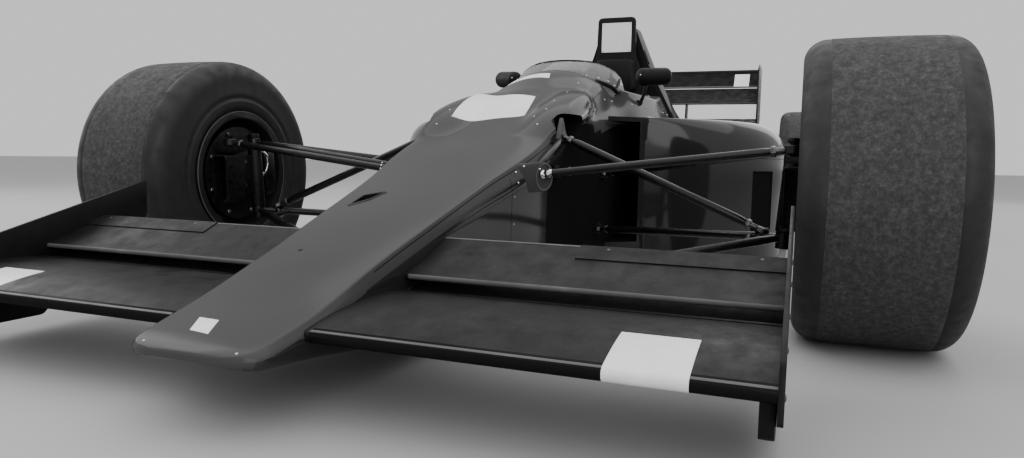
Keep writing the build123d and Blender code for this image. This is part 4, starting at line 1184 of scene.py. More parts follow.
def windscreen():
    """The tinted screen, a dark band round its foot and a bead along its top."""
    outer, inner = screen_columns(0, SCREEN_LOW), screen_columns(SCREEN_THICK, SCREEN_LOW)
    rings = [[car(*p) for p in list(o) + list(i)[::-1]] for o, i in zip(outer, inner)]
    piece = made("windscreen_skin", *skin(rings), SCREEN, "chassis", 50)
    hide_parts("windscreen")
    bead = bar([tuple((o[-1] + i[-1]) / 2) for o, i in zip(outer, inner)], 2.4, 10)
    joined("screen_bead", [bead], GLOSS_EDGE)
    foot, studs = [], []
    for j, column in enumerate(outer[6:-6]):
        x, y, _ = column[0]
        ground = on_body(x, y, 0)[2] * 1000
        level = [p for p in column if p[2] > ground - 2]
        if level and column[-1][2] > ground + 8:
            base = Vector(level[0])
            foot.append(tuple(base + Vector((0.6, 0.2 * np.sign(y), 0))))
            if j % 4 == 0:
                studs.append(dome(car(*(base + Vector((2.0, 0, 13)))), (0.75, y / 200, 0.6), 0.0035, 0.0016))
    joined("screen_foot", [bar(foot, 7, 10)], BLACK)
    joined("screen_studs", studs, STEEL)


windscreen()


# Headrest, mirrors and cockpit

PANEL_REAR, PANEL_FRONT = -1424.9, -1407.3
PANEL_LEFT = [(136, 640), (108, 756), (84, 812), (80, 973)]
SHEET_CORNERS = [(-62, 828), (64, 828), (64, 950), (-62, 950)]
PAD_CORNERS = [(-96, 660), (96, 660), (82, 796), (-82, 796)]


def headrest():
    """The upright panel with its blank sheet, and the pad on its front."""
    loop = round_loop(PANEL_LEFT + [(-y, z) for y, z in reversed(PANEL_LEFT)], 20, 7)
    panel = made("headrest_skin", *slab(loop, 0, (PANEL_REAR, PANEL_FRONT)), BLACK, None)
    bevelled(panel, 0.003, 3)
    dress(panel, "chassis")
    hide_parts("headrest")
    joined("blank_sheet", [slab(round_loop(SHEET_CORNERS, 3, 3), 0, (-1407.4, -1406.4))], SHEET)
    pins = [dome(car(-1406.4, y, z), (1, 0, 0), 0.003, 0.0015) for y in (-56, 58) for z in (834, 944)]
    joined("sheet_pins", pins, STEEL)
    rings = [[car(-1407.5 + d, y * s, 728 + (z - 728) * s) for y, z in round_loop(PAD_CORNERS, 26, 6)]
             for d, s in ((0, 1), (16, 1), (24, 0.96), (28, 0.88))]
    joined("head_pad", [skin(rings)], BLACK)


MIRROR_IN, MIRROR_OUT = (-816, 217.5, 656), (-891, 318.5, 666)
MIRROR_RADIUS, MIRROR_ROUND = 0.0298, 0.024


def mirrors():
    """Two mirror pods with domed ends on bent stalks."""
    a, b = Vector(car(*MIRROR_IN)), Vector(car(*MIRROR_OUT))
    way = (b - a).normalized()
    back = Vector((-1, 0, 0))
    back = (back - way * back.dot(way)).normalized()
    up = way.cross(back)
    long = (b - a).length
    ends = [np.linspace(0.0004, MIRROR_ROUND, 9), np.linspace(long - MIRROR_ROUND, long - 0.0004, 9)]
    rings = []
    for d in np.concatenate(ends):
        into = min(d, long - d)
        radius = MIRROR_RADIUS
        if into < MIRROR_ROUND:
            radius *= (1 - (1 - into / MIRROR_ROUND) ** 2.4) ** (1 / 2.4)
        rings.append([tuple(a + way * d + back * min(radius * cos(t), 0.02) + up * (radius * sin(t)))
                      for t in (2 * pi * k / 40 for k in range(40))])
    half = long / 2 - 0.018
    middle = a + way * (long / 2) + back * 0.0198
    loop = round_loop([(-half, -0.017), (half, -0.017), (half, 0.017), (-half, 0.017)], 0.011, 6)
    glass = [[tuple(middle + way * u + up * v + back * d) for u, v in loop] for d in (0, 0.0012)]
    top = Vector(MIRROR_IN).lerp(Vector(MIRROR_OUT), 0.3)
    foot = Vector((-845, 219, 557))
    knee = foot.lerp(top, 0.45) + Vector((4, 10, 0))
    stalk = skin(tube([Vector(car(*p)) for p in bent([foot, knee, top], 60)], 0.0068, 14, 0.8))
    base = drum((-845, 219, 566), (-845, 223, 580), 13, 2, 20)
    rivets = [dome(a + way * d + Vector((0.0294, 0, 0.004)), (1, 0, 0.1), 0.0028, 0.0014)
              for d in (0.02, long - 0.02)]
    piece = joined("mirror_pods", both([skin(rings), stalk, base]), BLACK, angle=40)
    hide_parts("mirrors")
    joined("mirror_glass", both([skin(glass)]), GLASS)
    joined("mirror_rivets", both(rivets), STEEL)


def cockpit():
    """Seat with its belts, steering wheel, dash and the padded rim of the opening."""
    softened("seat", 0.012, SEAT, 40, 3)
    belts = []
    for side in (1, -1):
        shoulder = [(-1304, 60, 520), (-1284, 62, 480), (-1205, 66, 300), (-1160, 60, 180)]
        lap = [(-1190, 138, 150), (-1130, 80, 152), (-1120, 20, 150)]
        for line, half, flat, up in ((shoulder, 0.026, 0.09, (1, 0, 0.4)), (lap, 0.024, 0.1, (0, 0, 1))):
            path = bent([car(x, y * side, z) for x, y, z in line], 0.05)
            belts.append(skin(tube(path, half, 12, flat, up)))
    joined("belts", belts, SHEET)
    joined("buckle", [drum((-1122, 0, 146), (-1118, 0, 158), 30, 3)], STEEL)
    wheel = softened("steering_wheel", 0.0015, GRIP, 40, 2)
    axis = Vector((cos(radians(16)), 0, -sin(radians(16))))
    hub = Vector((-800, 0, 545)) - axis * 12.2
    bolts = []
    for k in range(6):
        turn = 2 * pi * k / 6
        out = Vector((0, cos(turn), 0)) + axis.cross(Vector((0, 1, 0))) * sin(turn)
        bolts.append(dome(car(*(hub + out * 27)), -axis, 0.004, 0.002))
    bolts.append(skin(turned([(0.016, 0), (0.016, 0.005), (0.012, 0.007)], car(*hub), -axis, 32)))
    joined("steering_wheel_bolts", bolts, STEEL, body_of(wheel)[0])
    loop = round_loop([(-90, 470), (90, 470), (84, 566), (-84, 566)], 22, 6)
    joined("dash", [slab(loop, 0, (-640, -652))], BLACK)
    gauges = []
    for y, z, r in ((0, 528, 32), (-58, 520, 19), (58, 520, 19)):
        gauges.append(hoop([(r - 3, 0), (r, 0), (r, 6), (r - 3, 6)], (-652, y, z), (-1, 0, 0), 40))
        gauges.append(drum((-652, y, z), (-654, y, z), r - 3, 0.5))
    joined("gauges", gauges, STEEL)
    points = [(x, y, hull_top(x, y) - 1) for x, y in COCKPIT_LOOP if x < -850]
    joined("cockpit_edge", [bar(points, 9, 10)], BLACK)


headrest()
mirrors()
cockpit()


# Wings

def arc3(a, b, c, count):
    """Points on the arc from a to c through b."""
    a, b, c = (np.array(p, float) for p in (a, b, c))
    ax, ay = a - c
    bx, by = b - c
    turn = 2 * (ax * by - ay * bx)
    ux = (by * (ax ** 2 + ay ** 2) - ay * (bx ** 2 + by ** 2)) / turn
    uy = (ax * (bx ** 2 + by ** 2) - bx * (ax ** 2 + ay ** 2)) / turn
    centre = c + (ux, uy)
    start, middle, end = (atan2(*(p - centre)[::-1]) for p in (a, b, c))
    way = 1 if (middle - start) % (2 * pi) < (end - start) % (2 * pi) else -1
    span = ((end - start) * way) % (2 * pi)
    radius = np.linalg.norm(a - centre)
    return [centre + radius * np.array([cos(start + way * t), sin(start + way * t)])
            for t in np.linspace(0, span, count)]


def wing_section(plane):
    """A wing plane's section: over the top from tail to nose, then back underneath."""
    nose, tail, thick, camber = plane
    nose, tail = np.array(nose, float), np.array(tail, float)
    along = (tail - nose) / np.linalg.norm(tail - nose)
    up = np.array([along[1], -along[0]])
    ahead = nose + along * thick * 0.35
    top, low = ahead + up * thick * 0.36, ahead - up * thick * 0.36
    middle = nose + (tail - nose) * 0.45 + up * camber
    over = arc3(tail + up, middle + up * thick / 2, top, 40)
    tip = arc3(top, nose, low, 14)
    return np.array(over + tip[1:] + arc3(low, middle - up * thick / 2, tail - up, 40)[1:])


def wing_band(plane, first, last, y_from, y_to, lift):
    """A thin skin on a wing plane, between two shares of the way round its section."""
    line = wing_section(plane)
    run = np.append(0, np.cumsum(np.linalg.norm(np.diff(line, axis=0), axis=1)))
    at = np.linspace(first, last, 30) * run[-1]
    points = np.stack([np.interp(at, run, line[:, k]) for k in (0, 1)], axis=1)
    ahead = np.gradient(points, axis=0)
    out = np.stack([-ahead[:, 1], ahead[:, 0]], axis=1)
    out /= np.linalg.norm(out, axis=1)[:, None]
    ring = np.vstack([points + out * lift, (points - out * 0.4)[::-1]])
    return skin([[car(x, y, z) for x, z in ring] for y in np.linspace(y_from, y_to, 6)])


TAIL = -3305
WING_PLANE = ((873, 124), (598, 147), 26, 6)
FLAP_PLANE = ((612, 171), (476, 226), 14, -6)
FRONT_PLATE = [(884, 96), (864, 160), (709, 209), (352, 305), (352, 226), (420, 70), (620, 40), (724, 40)]
FRONT_FENCE = [(842, 113), (842, 64), (748, 31), (640, 31), (612, 60), (612, 134)]
MAIN_REAR = ((TAIL + 295, 724), (TAIL + 128, 830), 24, -14)
FLAP_REAR = ((TAIL + 115, 838), (TAIL + 20, 944), 14, -8)
BEAM_REAR = ((TAIL + 285, 606), (TAIL + 125, 640), 16, -10)


# Where the planes' skins and strips end, in millimetres from the middle of the car
WING_ROOT, WING_TIP, STRIP_TIP, REAR_TIP = 126, 736.8, 736.5, 493
PATCH_IN, PATCH_OUT = 540, 642
FRONT_LIP = [(604, 144), (604, 148), (556, 160), (540, 168), (538, 166), (554, 157)]


def front_wing():
    """Skins, lighter edges, painted highlight lines, patches, strips and screws on the front wing's planes.
    """
    for node in ("front_wing", "front_flaps"):
        paint(node, WING)
    for side, name in SIDES:
        shapes = [plate(FRONT_PLATE, 737, 744, 5), plate(FRONT_FENCE, 717, 735, 8)]
        piece = joined(f"front_endplate_{name}_skin", sided(shapes, side), WING, None)
        bevelled(piece, 0.0018, 2, 35)
        dress(piece, "chassis", 35)
        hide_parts(f"front_endplate_{name}")
    # The band round the flap's leading edge is a painted highlight; the other band lightens the flap's inner
    # trailing edge.
    edges = [wing_band(FLAP_PLANE, 0.475, 0.512, 136, WING_TIP, 0.35),
             wing_band(FLAP_PLANE, 0.0, 0.012, 136, 400, 0.35)]
    joined("front_wing_edges", both(edges), EDGE_WEAR_AND_HIGHLIGHT)
    nose = wing_band(WING_PLANE, 0.466, 0.56, WING_ROOT, WING_TIP, 0.4)
    joined("front_wing_nose", both([nose]), GLOSS_EDGE)
    # Thin painted highlight lines along the main plane's leading edge, broken by the patch.
    lines = [wing_band(WING_PLANE, 0.477, 0.485, y_from, y_to, 0.6)
             for y_from, y_to in ((WING_ROOT, PATCH_IN - 0.4), (PATCH_OUT + 0.4, WING_TIP))]
    joined("front_wing_painted_highlight", both(lines), EDGE_WEAR_AND_HIGHLIGHT)
    patch = wing_band(WING_PLANE, 0.295, 0.53, PATCH_IN, PATCH_OUT, 0.9)
    joined("front_wing_patches", both([patch]), WHITE)
    strip = [wing_band(FLAP_PLANE, 0.0, 0.15, 402, STRIP_TIP, 2.0),
             wing_band(WING_PLANE, 0.03, 0.07, 240, STRIP_TIP, 1.2), plate(FRONT_LIP, 132, STRIP_TIP, 1)]
    joined("wing_strips", both(strip), WING)
    x, z = wing_section(FLAP_PLANE)[3]
    studs = [dome(car(x, y, z + 2), (0.35, 0, 1), 0.0032, 0.0010) for y in (452, 700)]
    for px, pz in ((850, 118), (760, 150), (650, 170), (560, 200), (500, 225)):
        studs.append(dome(car(px, 744, pz), (0, 1, 0), 0.0045, 0.0018))
    joined("wing_studs", both(studs), JOINT)


REAR_STUDS = ((TAIL + 250, 745), (TAIL + 150, 815), (TAIL + 100, 858), (TAIL + 40, 930), (TAIL + 200, 622))


def rear_wing():
    """Skins, painted highlight lines along the planes' leading edges, and fittings on the rear wing."""
    for node in ("rear_wing_main", "rear_wing_flap", "rear_beam_wing"):
        paint(node, DULL)
    for _, name in SIDES:
        softened(f"rear_endplate_{name}", 0.0018, WING, 35)
    softened("rear_wing_posts", 0.002, BLACK)
    # Bands along each plane's leading edge are painted highlights.
    bands = ((MAIN_REAR, 0.475, 0.52), (FLAP_REAR, 0.455, 0.53), (BEAM_REAR, 0.47, 0.52))
    edges = [wing_band(plane, first, last, -REAR_TIP, REAR_TIP, 0.35) for plane, first, last in bands]
    joined("rear_wing_painted_highlights", edges, EDGE_WEAR_AND_HIGHLIGHT)
    faces = ((0.53, 0.93), (0.07, 0.47))
    patches = [wing_band(FLAP_REAR, first, last, 340, 430, 0.6) for first, last in faces]
    joined("rear_wing_patch", patches, WHITE)
    lip = [(TAIL + 20, 944), (TAIL + 24, 944), (TAIL + 16, 958), (TAIL + 12, 958)]
    joined("gurney", [plate(lip, -REAR_TIP, REAR_TIP, 1)], WING)
    studs = [dome(car(x, 501, z), (0, 1, 0), 0.005, 0.002) for x, z in REAR_STUDS]
    joined("rear_wing_studs", both(studs), STEEL)
    lamp = round_loop([(-24, 268), (24, 268), (24, 312), (-24, 312)], 8, 5)
    rings = [[car(-3082 - d, y * s, 290 + (z - 290) * s) for y, z in lamp]
             for d, s in ((-4, 1), (14, 1), (20, 0.94), (22, 0.8))]
    joined("rear_lamp", [skin(rings)], GRIP)


front_wing()
rear_wing()


# Suspension and steering

KINGPIN_LOW, KINGPIN_HIGH = (-30, 722, 212), (-30, 736, 405)
KING_AXIS = (Vector(KINGPIN_HIGH) - Vector(KINGPIN_LOW)).normalized()
STEER_ARM = (70, 734, 404)
FRONT_ARMS = {
    "front_upper_arms": (((10, 150, 336), (-440, 190, 330)), KINGPIN_HIGH),
    "front_lower_arms": (((285, 138, 104), (-390, 190, 172)), KINGPIN_LOW),
}
EYE = [(8.2, -12), (15.5, -12), (17, -10.5), (17, 10.5), (15.5, 12), (8.2, 12)]


def leaves_body(start, end):
    """Where a bar from inside the body comes out of its flank."""
    for share in np.linspace(0, 1, 401):
        x, y, z = (a + (b - a) * share for a, b in zip(start, end))
        if y > flank(x, z) + 7:
            return (x, y, z)
    return start


def rod_line(start, end, begin, swell, ease, gap):
    """Points of a rod: its start, the ends of its thickest stretch, and its end."""
    return [toward(start, end, begin), toward(start, end, swell), toward(end, start, ease),
            toward(end, start, gap)]


def arm_legs(starts, outer, gap, flat=0.82):
    """Tubes and eyes of a pair of legs that meet at an outer joint."""
    tubes, ends = [], []
    for start in starts:
        tubes.append(bar(rod_line(start, outer, 36, 58, 60, gap), [8, 12.6, 12.6, 9], 18, flat))
        ends += rod_end(start, outer)
    return tubes, ends


def bracket(at, y_in):
    """Two lugs that hold a rod's eye, with their bolt."""
    x, y, z = at
    loop = round_loop([(x - 17, y_in), (x + 17, y_in), (x + 11, y + 11), (x - 11, y + 11)], 6, 4)
    lugs = [slab(loop, 2, levels) for levels in ((z + 7, z + 12), (z - 12, z - 7))]
    lugs.append(drum((x, y, z - 17), (x, y, z + 17), 5, 1, 16))
    lugs.append(hexagon(car(x, y, z + 12), (0, 0, 1), 0.008, 0.006))
    return lugs


def front_arms():
    """Wishbones with their joints, replacing the plain ones."""
    lugs = []
    for node, (starts, outer) in FRONT_ARMS.items():
        roots = [leaves_body(start, outer) for start in starts]
        tubes, ends = arm_legs(roots, outer, 14)
        ring = hoop(EYE, outer, KING_AXIS, 40)
        piece = joined(f"{node}_skin", both(tubes + [ring]), ARM, angle=40)
        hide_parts(node)
        joined(f"{node}_ends", both(ends), JOINT)
        for root in roots:
            lugs += bracket(root, flank(root[0], root[2]) - 8)
    web = [toward(KINGPIN_LOW, start, 90) for start in FRONT_ARMS["front_lower_arms"][0]]
    lugs.append(bar(web, 7, 10))
    joined("arm_brackets", both(lugs), BLACK)


def front_pushrods():
    """Pushrods with their joints and the rockers in the body's openings."""
    rocker, foot = (-86, 176, 436), (-58, 676, 222)
    tubes = [bar(rod_line(rocker, foot, 36, 60, 60, 30), [8, 11.6, 11.6, 8], 18, 0.9)]
    piece = joined("front_pushrod_skin", both(tubes), ARM)
    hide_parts("front_pushrods")
    ends = rod_end(rocker, foot, (0, 0.4, 1)) + rod_end(foot, rocker, (0, 0.4, 1))
    joined("pushrod_ends", both(ends), JOINT)
    triangle = [(-128, 424), (-52, 420), (-84, 484)]
    links = [plate(triangle, 152, 160, 12), plate(triangle, 178, 186, 12)]
    links.append(drum((-86, 148, 436), (-86, 192, 436), 8, 1.5, 20))
    links.append(drum((-112, 148, 430), (-112, 188, 430), 10, 1.5, 20))
    joined("rockers", both(links), EDGE_WEAR_AND_HIGHLIGHT)
    seat = [drum((-58, 676, 214), (-58, 664, 190), 11, 2, 20),
            drum((-58, 690, 222), (-58, 660, 222), 6, 1, 16)]
    joined("pushrod_seats", both(seat), ARM)


def steering():
    """Track rods with their rack joints, in place of the plain rack."""
    start, eye = (95, 146, 334), STEER_ARM
    rods = [bar(rod_line(start, eye, 0, 60, 62, 40), [9, 9, 9, 7], 18)]
    middle = drum((95, -150, 334), (95, 150, 334), 14, 1)
    ring = hoop([(11.2, -9), (16.5, -9), (18, -7.5), (18, 7.5), (16.5, 9), (11.2, 9)], eye, (0, 0, 1), 36)
    piece = joined("track_rods", both(rods + [ring]) + [middle], ROD, "steering_rack", 40)
    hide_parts("steering_rack")
    shank = [drum(toward(eye, start, 16), toward(eye, start, 52), 7, 1, 16)]
    way = (Vector(start) - Vector(eye)).normalized()
    shank.append(hexagon(car(*toward(eye, start, 34)), way, 0.0125, 0.010))
    joined("track_rod_ends", both(shank), JOINT, "steering_rack")
    a, b = Vector(car(*start)), Vector(car(*eye))
    turns = np.linspace(0.3, 2.9, 9)
    ball = [(0.0092, 0.036)] + [(0.007 + 0.006 * sin(t), 0.048 - 0.009 * cos(t)) for t in turns]
    ball += [(0.0094, 0.060), (0.0094, 0.074)]
    inner_ends = [skin(turned(ball, a, b - a, 28)), hexagon(a.lerp(b, 0.105), b - a, 0.0108, 0.007)]
    joined("rack_joints", both(inner_ends), CHROME, "steering_rack")


# Columns: points of the hose, radius of its bends, its own radius
HOSES = (
    ([(-60, 742, 300), (-86, 734, 330), (-84, 736, 372), (-60, 752, 392)], 0.03, 0.0042),
    ([(-96, 760, 290), (-100, 744, 310), (-70, 740, 318), (-50, 736, 312)], 0.02, 0.0038),
)
CALIPER = [(-126, 262), (-78, 248), (-70, 372), (-116, 384)]
CALIPER_X, CALIPER_Z = -98, 317
SCOOP_X, SCOOP = 105, ((742, 239), (717, 239), (717, 367), (768, 367), (768, 239), (742, 239))
COVER_BOLT_RING, COVER_BOLT_Y = 118, 765.2


def uprights():
    """Cast knuckles with brake lines, caliper and bolts; what turns rides on the knuckle."""
    middle_z = FRONT_Z * 1000
    for side, name in SIDES:
        body = f"front_knuckle_{name}"
        softened(f"front_upright_{name}", 0.0016, UPRIGHT, 35)
        bolts = []
        for k in range(8):
            turn = 2 * pi * (k + 0.5) / 8
            at = car(COVER_BOLT_RING * cos(turn), COVER_BOLT_Y, middle_z + COVER_BOLT_RING * sin(turn))
            bolts.append(hexagon(at, (0, -1, 0), 0.0065, 0.005))
        for x, z in ((-38, 285), (24, 285), (-38, 350), (24, 350)):
            bolts.append(hexagon(car(x, 727.5, z), (0, -1, 0), 0.007, 0.006))
        hoses = [skin(tube(bent([car(*p) for p in line], bend), radius, 10)) for line, bend, radius in HOSES]
        rings = [[car(x + (CALIPER_X - x) * s, y, z + (CALIPER_Z - z) * s)
                  for x, z in round_loop(CALIPER, 12, 5)] for y, s in ((768, 0.0), (738, 0.0), (734, 0.1))]
        joined(f"upright_bolts_{name}", sided(bolts, side), STEEL, body)
        joined(f"brake_hoses_{name}", sided(hoses, side), CHROME, body)
        joined(f"caliper_{name}", sided([skin(rings)], side), UPRIGHT, body)
        mouth = bent([car(SCOOP_X, y, z) for y, z in SCOOP], 0.01)
        joined(f"scoop_lip_{name}", sided([skin(tube(mouth, 0.002, 8))], side), RIM, body)


# Inner joints and outer joint of the upper and the lower pair of legs
REAR_ARMS = (
    (((-2590, 100, 428), (-2985, 84, 412)), (-2800, 622, 446)),
    (((-2520, 112, 170), (-2985, 88, 238)), (-2800, 622, 214)),
)
REAR_PUSH = ((-2655, 92, 428), (-2744, 560, 240), (-2780, 590, 213))
RIB_XS, RIB_LOW, RIB_HIGH = (-2080, -2200, -2320, -2440, -2560, -2680), 180, 425


def rear_arms():
    """Rear arms and pushrods with their joints."""
    tubes, ends = [], []
    for starts, outer in REAR_ARMS:
        legs, eyes = arm_legs(starts, outer, 16, 0.85)
        tubes += legs
        ends += eyes
    rocker, knee, foot = REAR_PUSH
    tubes.append(bar([toward(rocker, knee, 36), knee, foot], [8, 11.6, 11.6], 18))
    ends += rod_end((-2655, 96, 427), knee)
    piece = joined("rear_arm_skin", both(tubes), ARM)
    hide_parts("rear_arms")
    joined("rear_arm_ends", both(ends), JOINT)


def gearbox_half(x):
    """Half width of the gearbox, which tapers in two straight stretches."""
    if x > -2380:
        return 150 + (118 - 150) * min(1, (-1945 - x) / 435)
    return 118 + (92 - 118) * (-2380 - x) / 480


def rear_end():
    """Uprights, driveshafts with boots, engine and gearbox, and the arms that carry the wheels."""
    rear_arms()
    softened("rear_uprights", 0.003, UPRIGHT, 35)
    for side, name in SIDES:
        body = body_of(frame["nodes"][f"rear_axle_{name}"])[0]
        z = REAR_Z * 1000
        folds = [(0.046 - 0.0012 * k - 0.003 * (k % 2), 0.001 + 0.0042 * k) for k in range(15)]
        boot = [(0.020, 0.0)] + folds + [(0.0205, 0.064)]
        boots = [skin(turned(boot, car(-2800, y, z), (0, way, 0), 40)) for y, way in ((161, 1), (538, -1))]
        softened(f"rear_axle_{name}", 0.003, STEEL, 35)
        joined(f"axle_boots_{name}", sided(boots, side), GRIP, body)
    softened("gearbox", 0.008, CAST, 25, 3)
    softened("engine_block", 0.006, ENGINE)
    ribs, bolts = [], []
    for x in RIB_XS:
        half = gearbox_half(x)
        rib = [(x - 6, RIB_LOW), (x + 6, RIB_LOW), (x + 6, RIB_HIGH), (x - 6, RIB_HIGH)]
        ribs.append(plate(rib, half - 4, half + 7, 3))
        bolts += [hexagon(car(x - 30, half - 1, z), (0, 1, 0), 0.008, 0.006) for z in (200, 300, 400)]
    for turn in np.linspace(0, 2 * pi, 9)[:-1]:
        bolts.append(hexagon(car(-2800 + 66 * cos(turn), 93, 330 + 66 * sin(turn)), (0, 1, 0), 0.007, 0.006))
    joined("gearbox_ribs", both(ribs), CAST)
    joined("gearbox_bolts", both(bolts), STEEL)
    joined("gearbox_flanges", both([drum((-2800, 88, 330), (-2800, 97, 330), 80, 2, 40)]), CAST)


PIPE_RADIUS, PIPE_BORE, PIPE_DEEP = 0.034, 0.0312, 0.2
PIPE_Y, PIPE_Z, CLAMP_XS = 250, 262, (-1960, -2240, -2560)


def exhausts():
    """Bent tailpipes with a thin open end and clamps."""
    line = bent([car(-1835, 170, PIPE_Z), car(-1835, PIPE_Y, PIPE_Z), car(-2620, PIPE_Y, PIPE_Z)], 0.075, 14)
    outer = tube(line, PIPE_RADIUS, 36)
    inner = tube([line[-1], line[-1] - Vector((0.0001, 0, 0))], PIPE_BORE, 36)[:1]
    back = [[tuple(Vector(p) + Vector((PIPE_DEEP, 0, 0))) for p in inner[0]]]
    piece = joined("exhaust_pipes", both([skin(outer + inner + back)]), PIPE)
    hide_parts("exhausts")
    band = [(34, -8), (37, -8), (37, 8), (34, 8)]
    bands = [hoop(band, (x, PIPE_Y, PIPE_Z), (1, 0, 0), 40) for x in CLAMP_XS]
    joined("exhaust_clamps", both(bands), STEEL)


front_arms()
front_pushrods()
steering()
uprights()
rear_end()
exhausts()


# Floor and ducts

TANK = [(-1172, 256), (-1304, 682), (-1376, 682), (-1248, 256)]


def floor_and_ducts():
    """Floor, diffuser, radiators and what shows inside the ducts."""
    softened("floor", 0.003, CARBON)
    softened("diffuser", 0.002, CARBON)
    softened("radiators", 0.003, CORE)
    tanks = [slab(round_loop(TANK, 10, 4), 2, levels) for levels in ((124, 142), (383, 401))]
    joined("radiator_tanks", both(tanks), CAST)
    spots = [(x, y, 52, (0, 0, 1)) for x in (-2385, -2420) for y in (90, 210, 330, 450, 540)]
    spots += [(x, 700, 90, (0, 1, 0)) for x in (-1010, -1300, -1600, -1840)]
    studs = [dome(car(x, y, z), normal, 0.005, 0.002) for x, y, z, normal in spots]
    joined("floor_studs", both(studs), STEEL)


floor_and_ducts()


# Wheels

# Columns: radius, distance in from the sidewall's widest plane
TYRE_SIDE = (
    (0.166, 0.010), (0.179, 0.0095), (0.184, 0.004), (0.192, 0.0015), (0.204, 0.0),
    (0.207, 0.0), (0.2085, 0.0012), (0.218, 0.0012), (0.2195, 0.0),
)
SHOULDER, SHOULDER_RISE, TREAD_IN, TREAD_DROP = 0.046, 0.044, 0.051, 0.0014


def tyre_profile(radius, width):
    """Half outline of a tyre as (radius, along), from bead to the middle of the tread."""
    half = width / 2
    side = [(r, half - distance) for r, distance in TYRE_SIDE]
    last = TYRE_SIDE[-1][0]
    shoulder = radius - SHOULDER
    for t in np.linspace(0, 1, 6)[1:]:
        side.append((last + (shoulder - last) * t, half - 0.0006 * sin(pi * t)))
    for t in np.linspace(0, pi / 2, 12)[1:]:
        side.append((shoulder + SHOULDER_RISE * sin(t), half - SHOULDER * (1 - cos(t))))
    groove = ((0.0024, 0.048), (0.0024, 0.0495), (TREAD_DROP, TREAD_IN))
    side += [(radius - drop, half - distance) for drop, distance in groove]
    for t in np.linspace(0, 1, 7)[1:]:
        side.append((radius - TREAD_DROP * (1 - t) ** 2, (half - TREAD_IN) * (1 - t)))
    return side


# Columns: end of the car, middle of the wheel, tyre's radius, tyre's width, in metres
TYRES = (
    ("front", (AXLE, FRONT_Y, FRONT_Z), 0.3175, 0.305),
    ("rear", (REAR_X, REAR_Y, REAR_Z), 0.33, 0.385),
)


def tyres():
    """Four slick tyres, with the scuffed rubber on the flat part of the tread."""
    for end, (x, y, z), radius, width in TYRES:
        half = tyre_profile(radius, width)
        profile = half + [(r, -a) for r, a in half[-2::-1]]
        for side, name in SIDES:
            centre = Vector((x, y * side, z))
            rings = turned(profile, centre, (0, 1, 0), 128)
            verts, faces = skin(rings + rings[:1], (False, False))
            piece = made(f"{end}_tyre_skin_{name}", verts, faces, TYRE, f"{end}_wheel_{name}", 50)
            piece.data.materials.append(TREAD)
            for poly in piece.data.polygons:
                off = poly.center - centre
                if sqrt(off.x ** 2 + off.z ** 2) > radius - 0.006 and abs(off.y) < width / 2 - 0.05:
                    poly.material_index = 1
            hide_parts(f"{end}_tyre_{name}")


# Columns: end of the car, x, y and z of the wheel's middle, then how far out from it the face of
# the nut, the foot of the drive pins and the bead line are, in millimetres
RIMS = (
    ("front", 0, FRONT_Y * 1000, FRONT_Z * 1000, 98, 76, 149.6),
    ("rear", -2800, REAR_Y * 1000, REAR_Z * 1000, 128, 106, 189.6),
)
PIN_RING = 57
BEAD_LINE = [(174.5, 0), (176.6, 0), (176.6, 1.4), (174.5, 1.4)]


def rims():
    """Rims with rounded edges, a valve, a locking nut and drive pins."""
    for end, x, y, z, face, pins, out in RIMS:
        for side, name in SIDES:
            softened(f"{end}_rim_{name}", 0.0016, RIM, 35)
            parts = [hexagon(car(x, y + face, z), (0, 1, 0), 0.03, 0.006)]
            for k in range(10):
                turn = 2 * pi * (k + 0.5) / 10
                at = car(x + PIN_RING * cos(turn), y + pins, z + PIN_RING * sin(turn))
                parts.append(dome(at, (0, 1, 0), 0.005, 0.003))
            parts.append(drum((x + 150, y + 136, z), (x + 128, y + 146, z), 3.5, 0.8, 12))
            joined(f"{end}_rim_fittings_{name}", sided(parts, side), STEEL, f"{end}_wheel_{name}")
            beads = [hoop(BEAD_LINE, (x, y + out * way - 0.7, z), (0, 1, 0), 96) for way in (1, -1)]
            joined(f"{end}_bead_lines_{name}", sided(beads, side), EDGE_WEAR_AND_HIGHLIGHT, f"{end}_wheel_{name}")


tyres()
rims()


# Stage

# Columns: name, place, point that it faces, side of its square, power
LIGHTS = (
    ("overhead", (0.2, 0.2, 5.0), (0, 0, 0), 9.0, 260),
    ("far_side", (1.0, -5.0, 3.0), (0.3, 0, 0.4), 4.0, 110),
    ("behind", (-5.5, 1.5, 3.2), (0, 0, 0.4), 4.0, 60),
    ("front", (5.5, 2.5, 2.6), (0.4, 0, 0.5), 4.0, 90),
)
STUDIO = 30


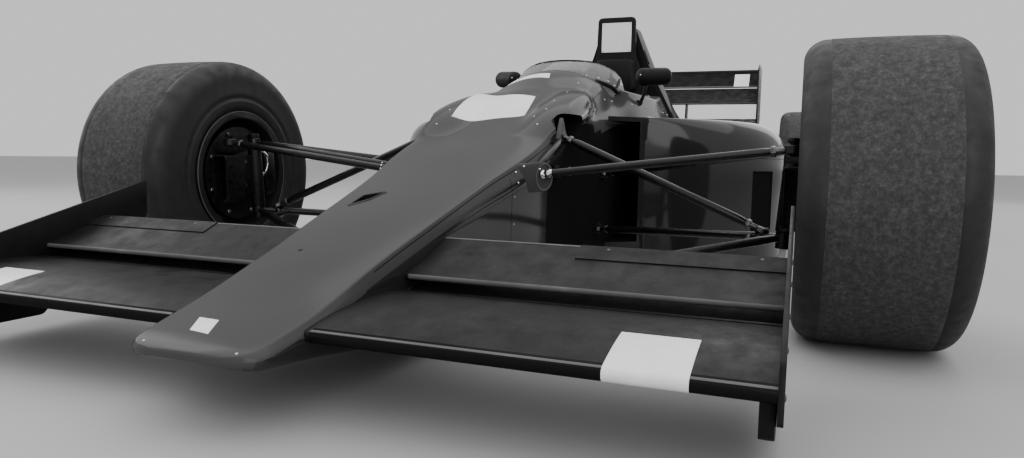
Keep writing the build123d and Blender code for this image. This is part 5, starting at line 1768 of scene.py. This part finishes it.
def stage():
    """A plain floor, a pale world and four square lights."""
    corners = [(-STUDIO, -STUDIO, 0), (STUDIO, -STUDIO, 0), (STUDIO, STUDIO, 0), (-STUDIO, STUDIO, 0)]
    floor = made("studio_floor", corners, [(0, 1, 2, 3)], BODY, None)
    ground = Paint("studio_floor", 0.4, 0.8)
    ground.tint(ground.noise(0.6, 5), [(0.3, 0.97), (0.7, 1.03)])
    ground.bump(ground.noise(0.01, 3), 0.05, 0.001)
    floor.data.materials.clear()
    floor.data.materials.append(ground.mat)
    world = bpy.data.worlds.new("studio")
    bpy.context.scene.world = world
    world.use_nodes = True
    background = world.node_tree.nodes["Background"]
    background.inputs["Color"].default_value = (0.86, 0.86, 0.87, 1)
    background.inputs["Strength"].default_value = 0.95
    for name, place, aim, size, power in LIGHTS:
        data = bpy.data.lights.new(name, "AREA")
        data.shape = "SQUARE"
        data.size = size
        data.energy = power
        light = bpy.data.objects.new(name, data)
        bpy.context.scene.collection.objects.link(light)
        light.location = place
        light.rotation_euler = (Vector(aim) - Vector(place)).to_track_quat("-Z", "Y").to_euler()


# Turns in radians; focal length, width and heights in the picture, in pixels; place in metres
YAW, PITCH, ROLL = 0.3697, 0.0891, -0.0185
FOCAL, PICTURE_WIDTH, CENTRE_Y, MIDDLE_Y = 732.73, 1024, 221.58, 229
CAMERA_AT = (1.6992 + AXLE, 0.7447, 0.380)
SENSOR = 36.0


def camera():
    """The camera worked out from the photograph, in place and turn."""
    ahead = Vector((-cos(YAW) * cos(PITCH), -sin(YAW) * cos(PITCH), -sin(PITCH)))
    right = Vector((-sin(YAW), cos(YAW), 0))
    down = ahead.cross(right)
    if down.z > 0:
        down = -down
    across = right * cos(ROLL) + down * sin(ROLL)
    below = down * cos(ROLL) - right * sin(ROLL)
    data = bpy.data.cameras.new("camera")
    data.sensor_width = SENSOR
    data.lens = FOCAL / PICTURE_WIDTH * SENSOR
    data.shift_y = -(MIDDLE_Y - CENTRE_Y) / PICTURE_WIDTH
    data.clip_end = 100
    view = bpy.data.objects.new("camera", data)
    bpy.context.scene.collection.objects.link(view)
    turn = Matrix((across, -below, -ahead)).transposed()
    view.matrix_world = Matrix.Translation(CAMERA_AT) @ turn.to_4x4()
    bpy.context.scene.camera = view


stage()
camera()
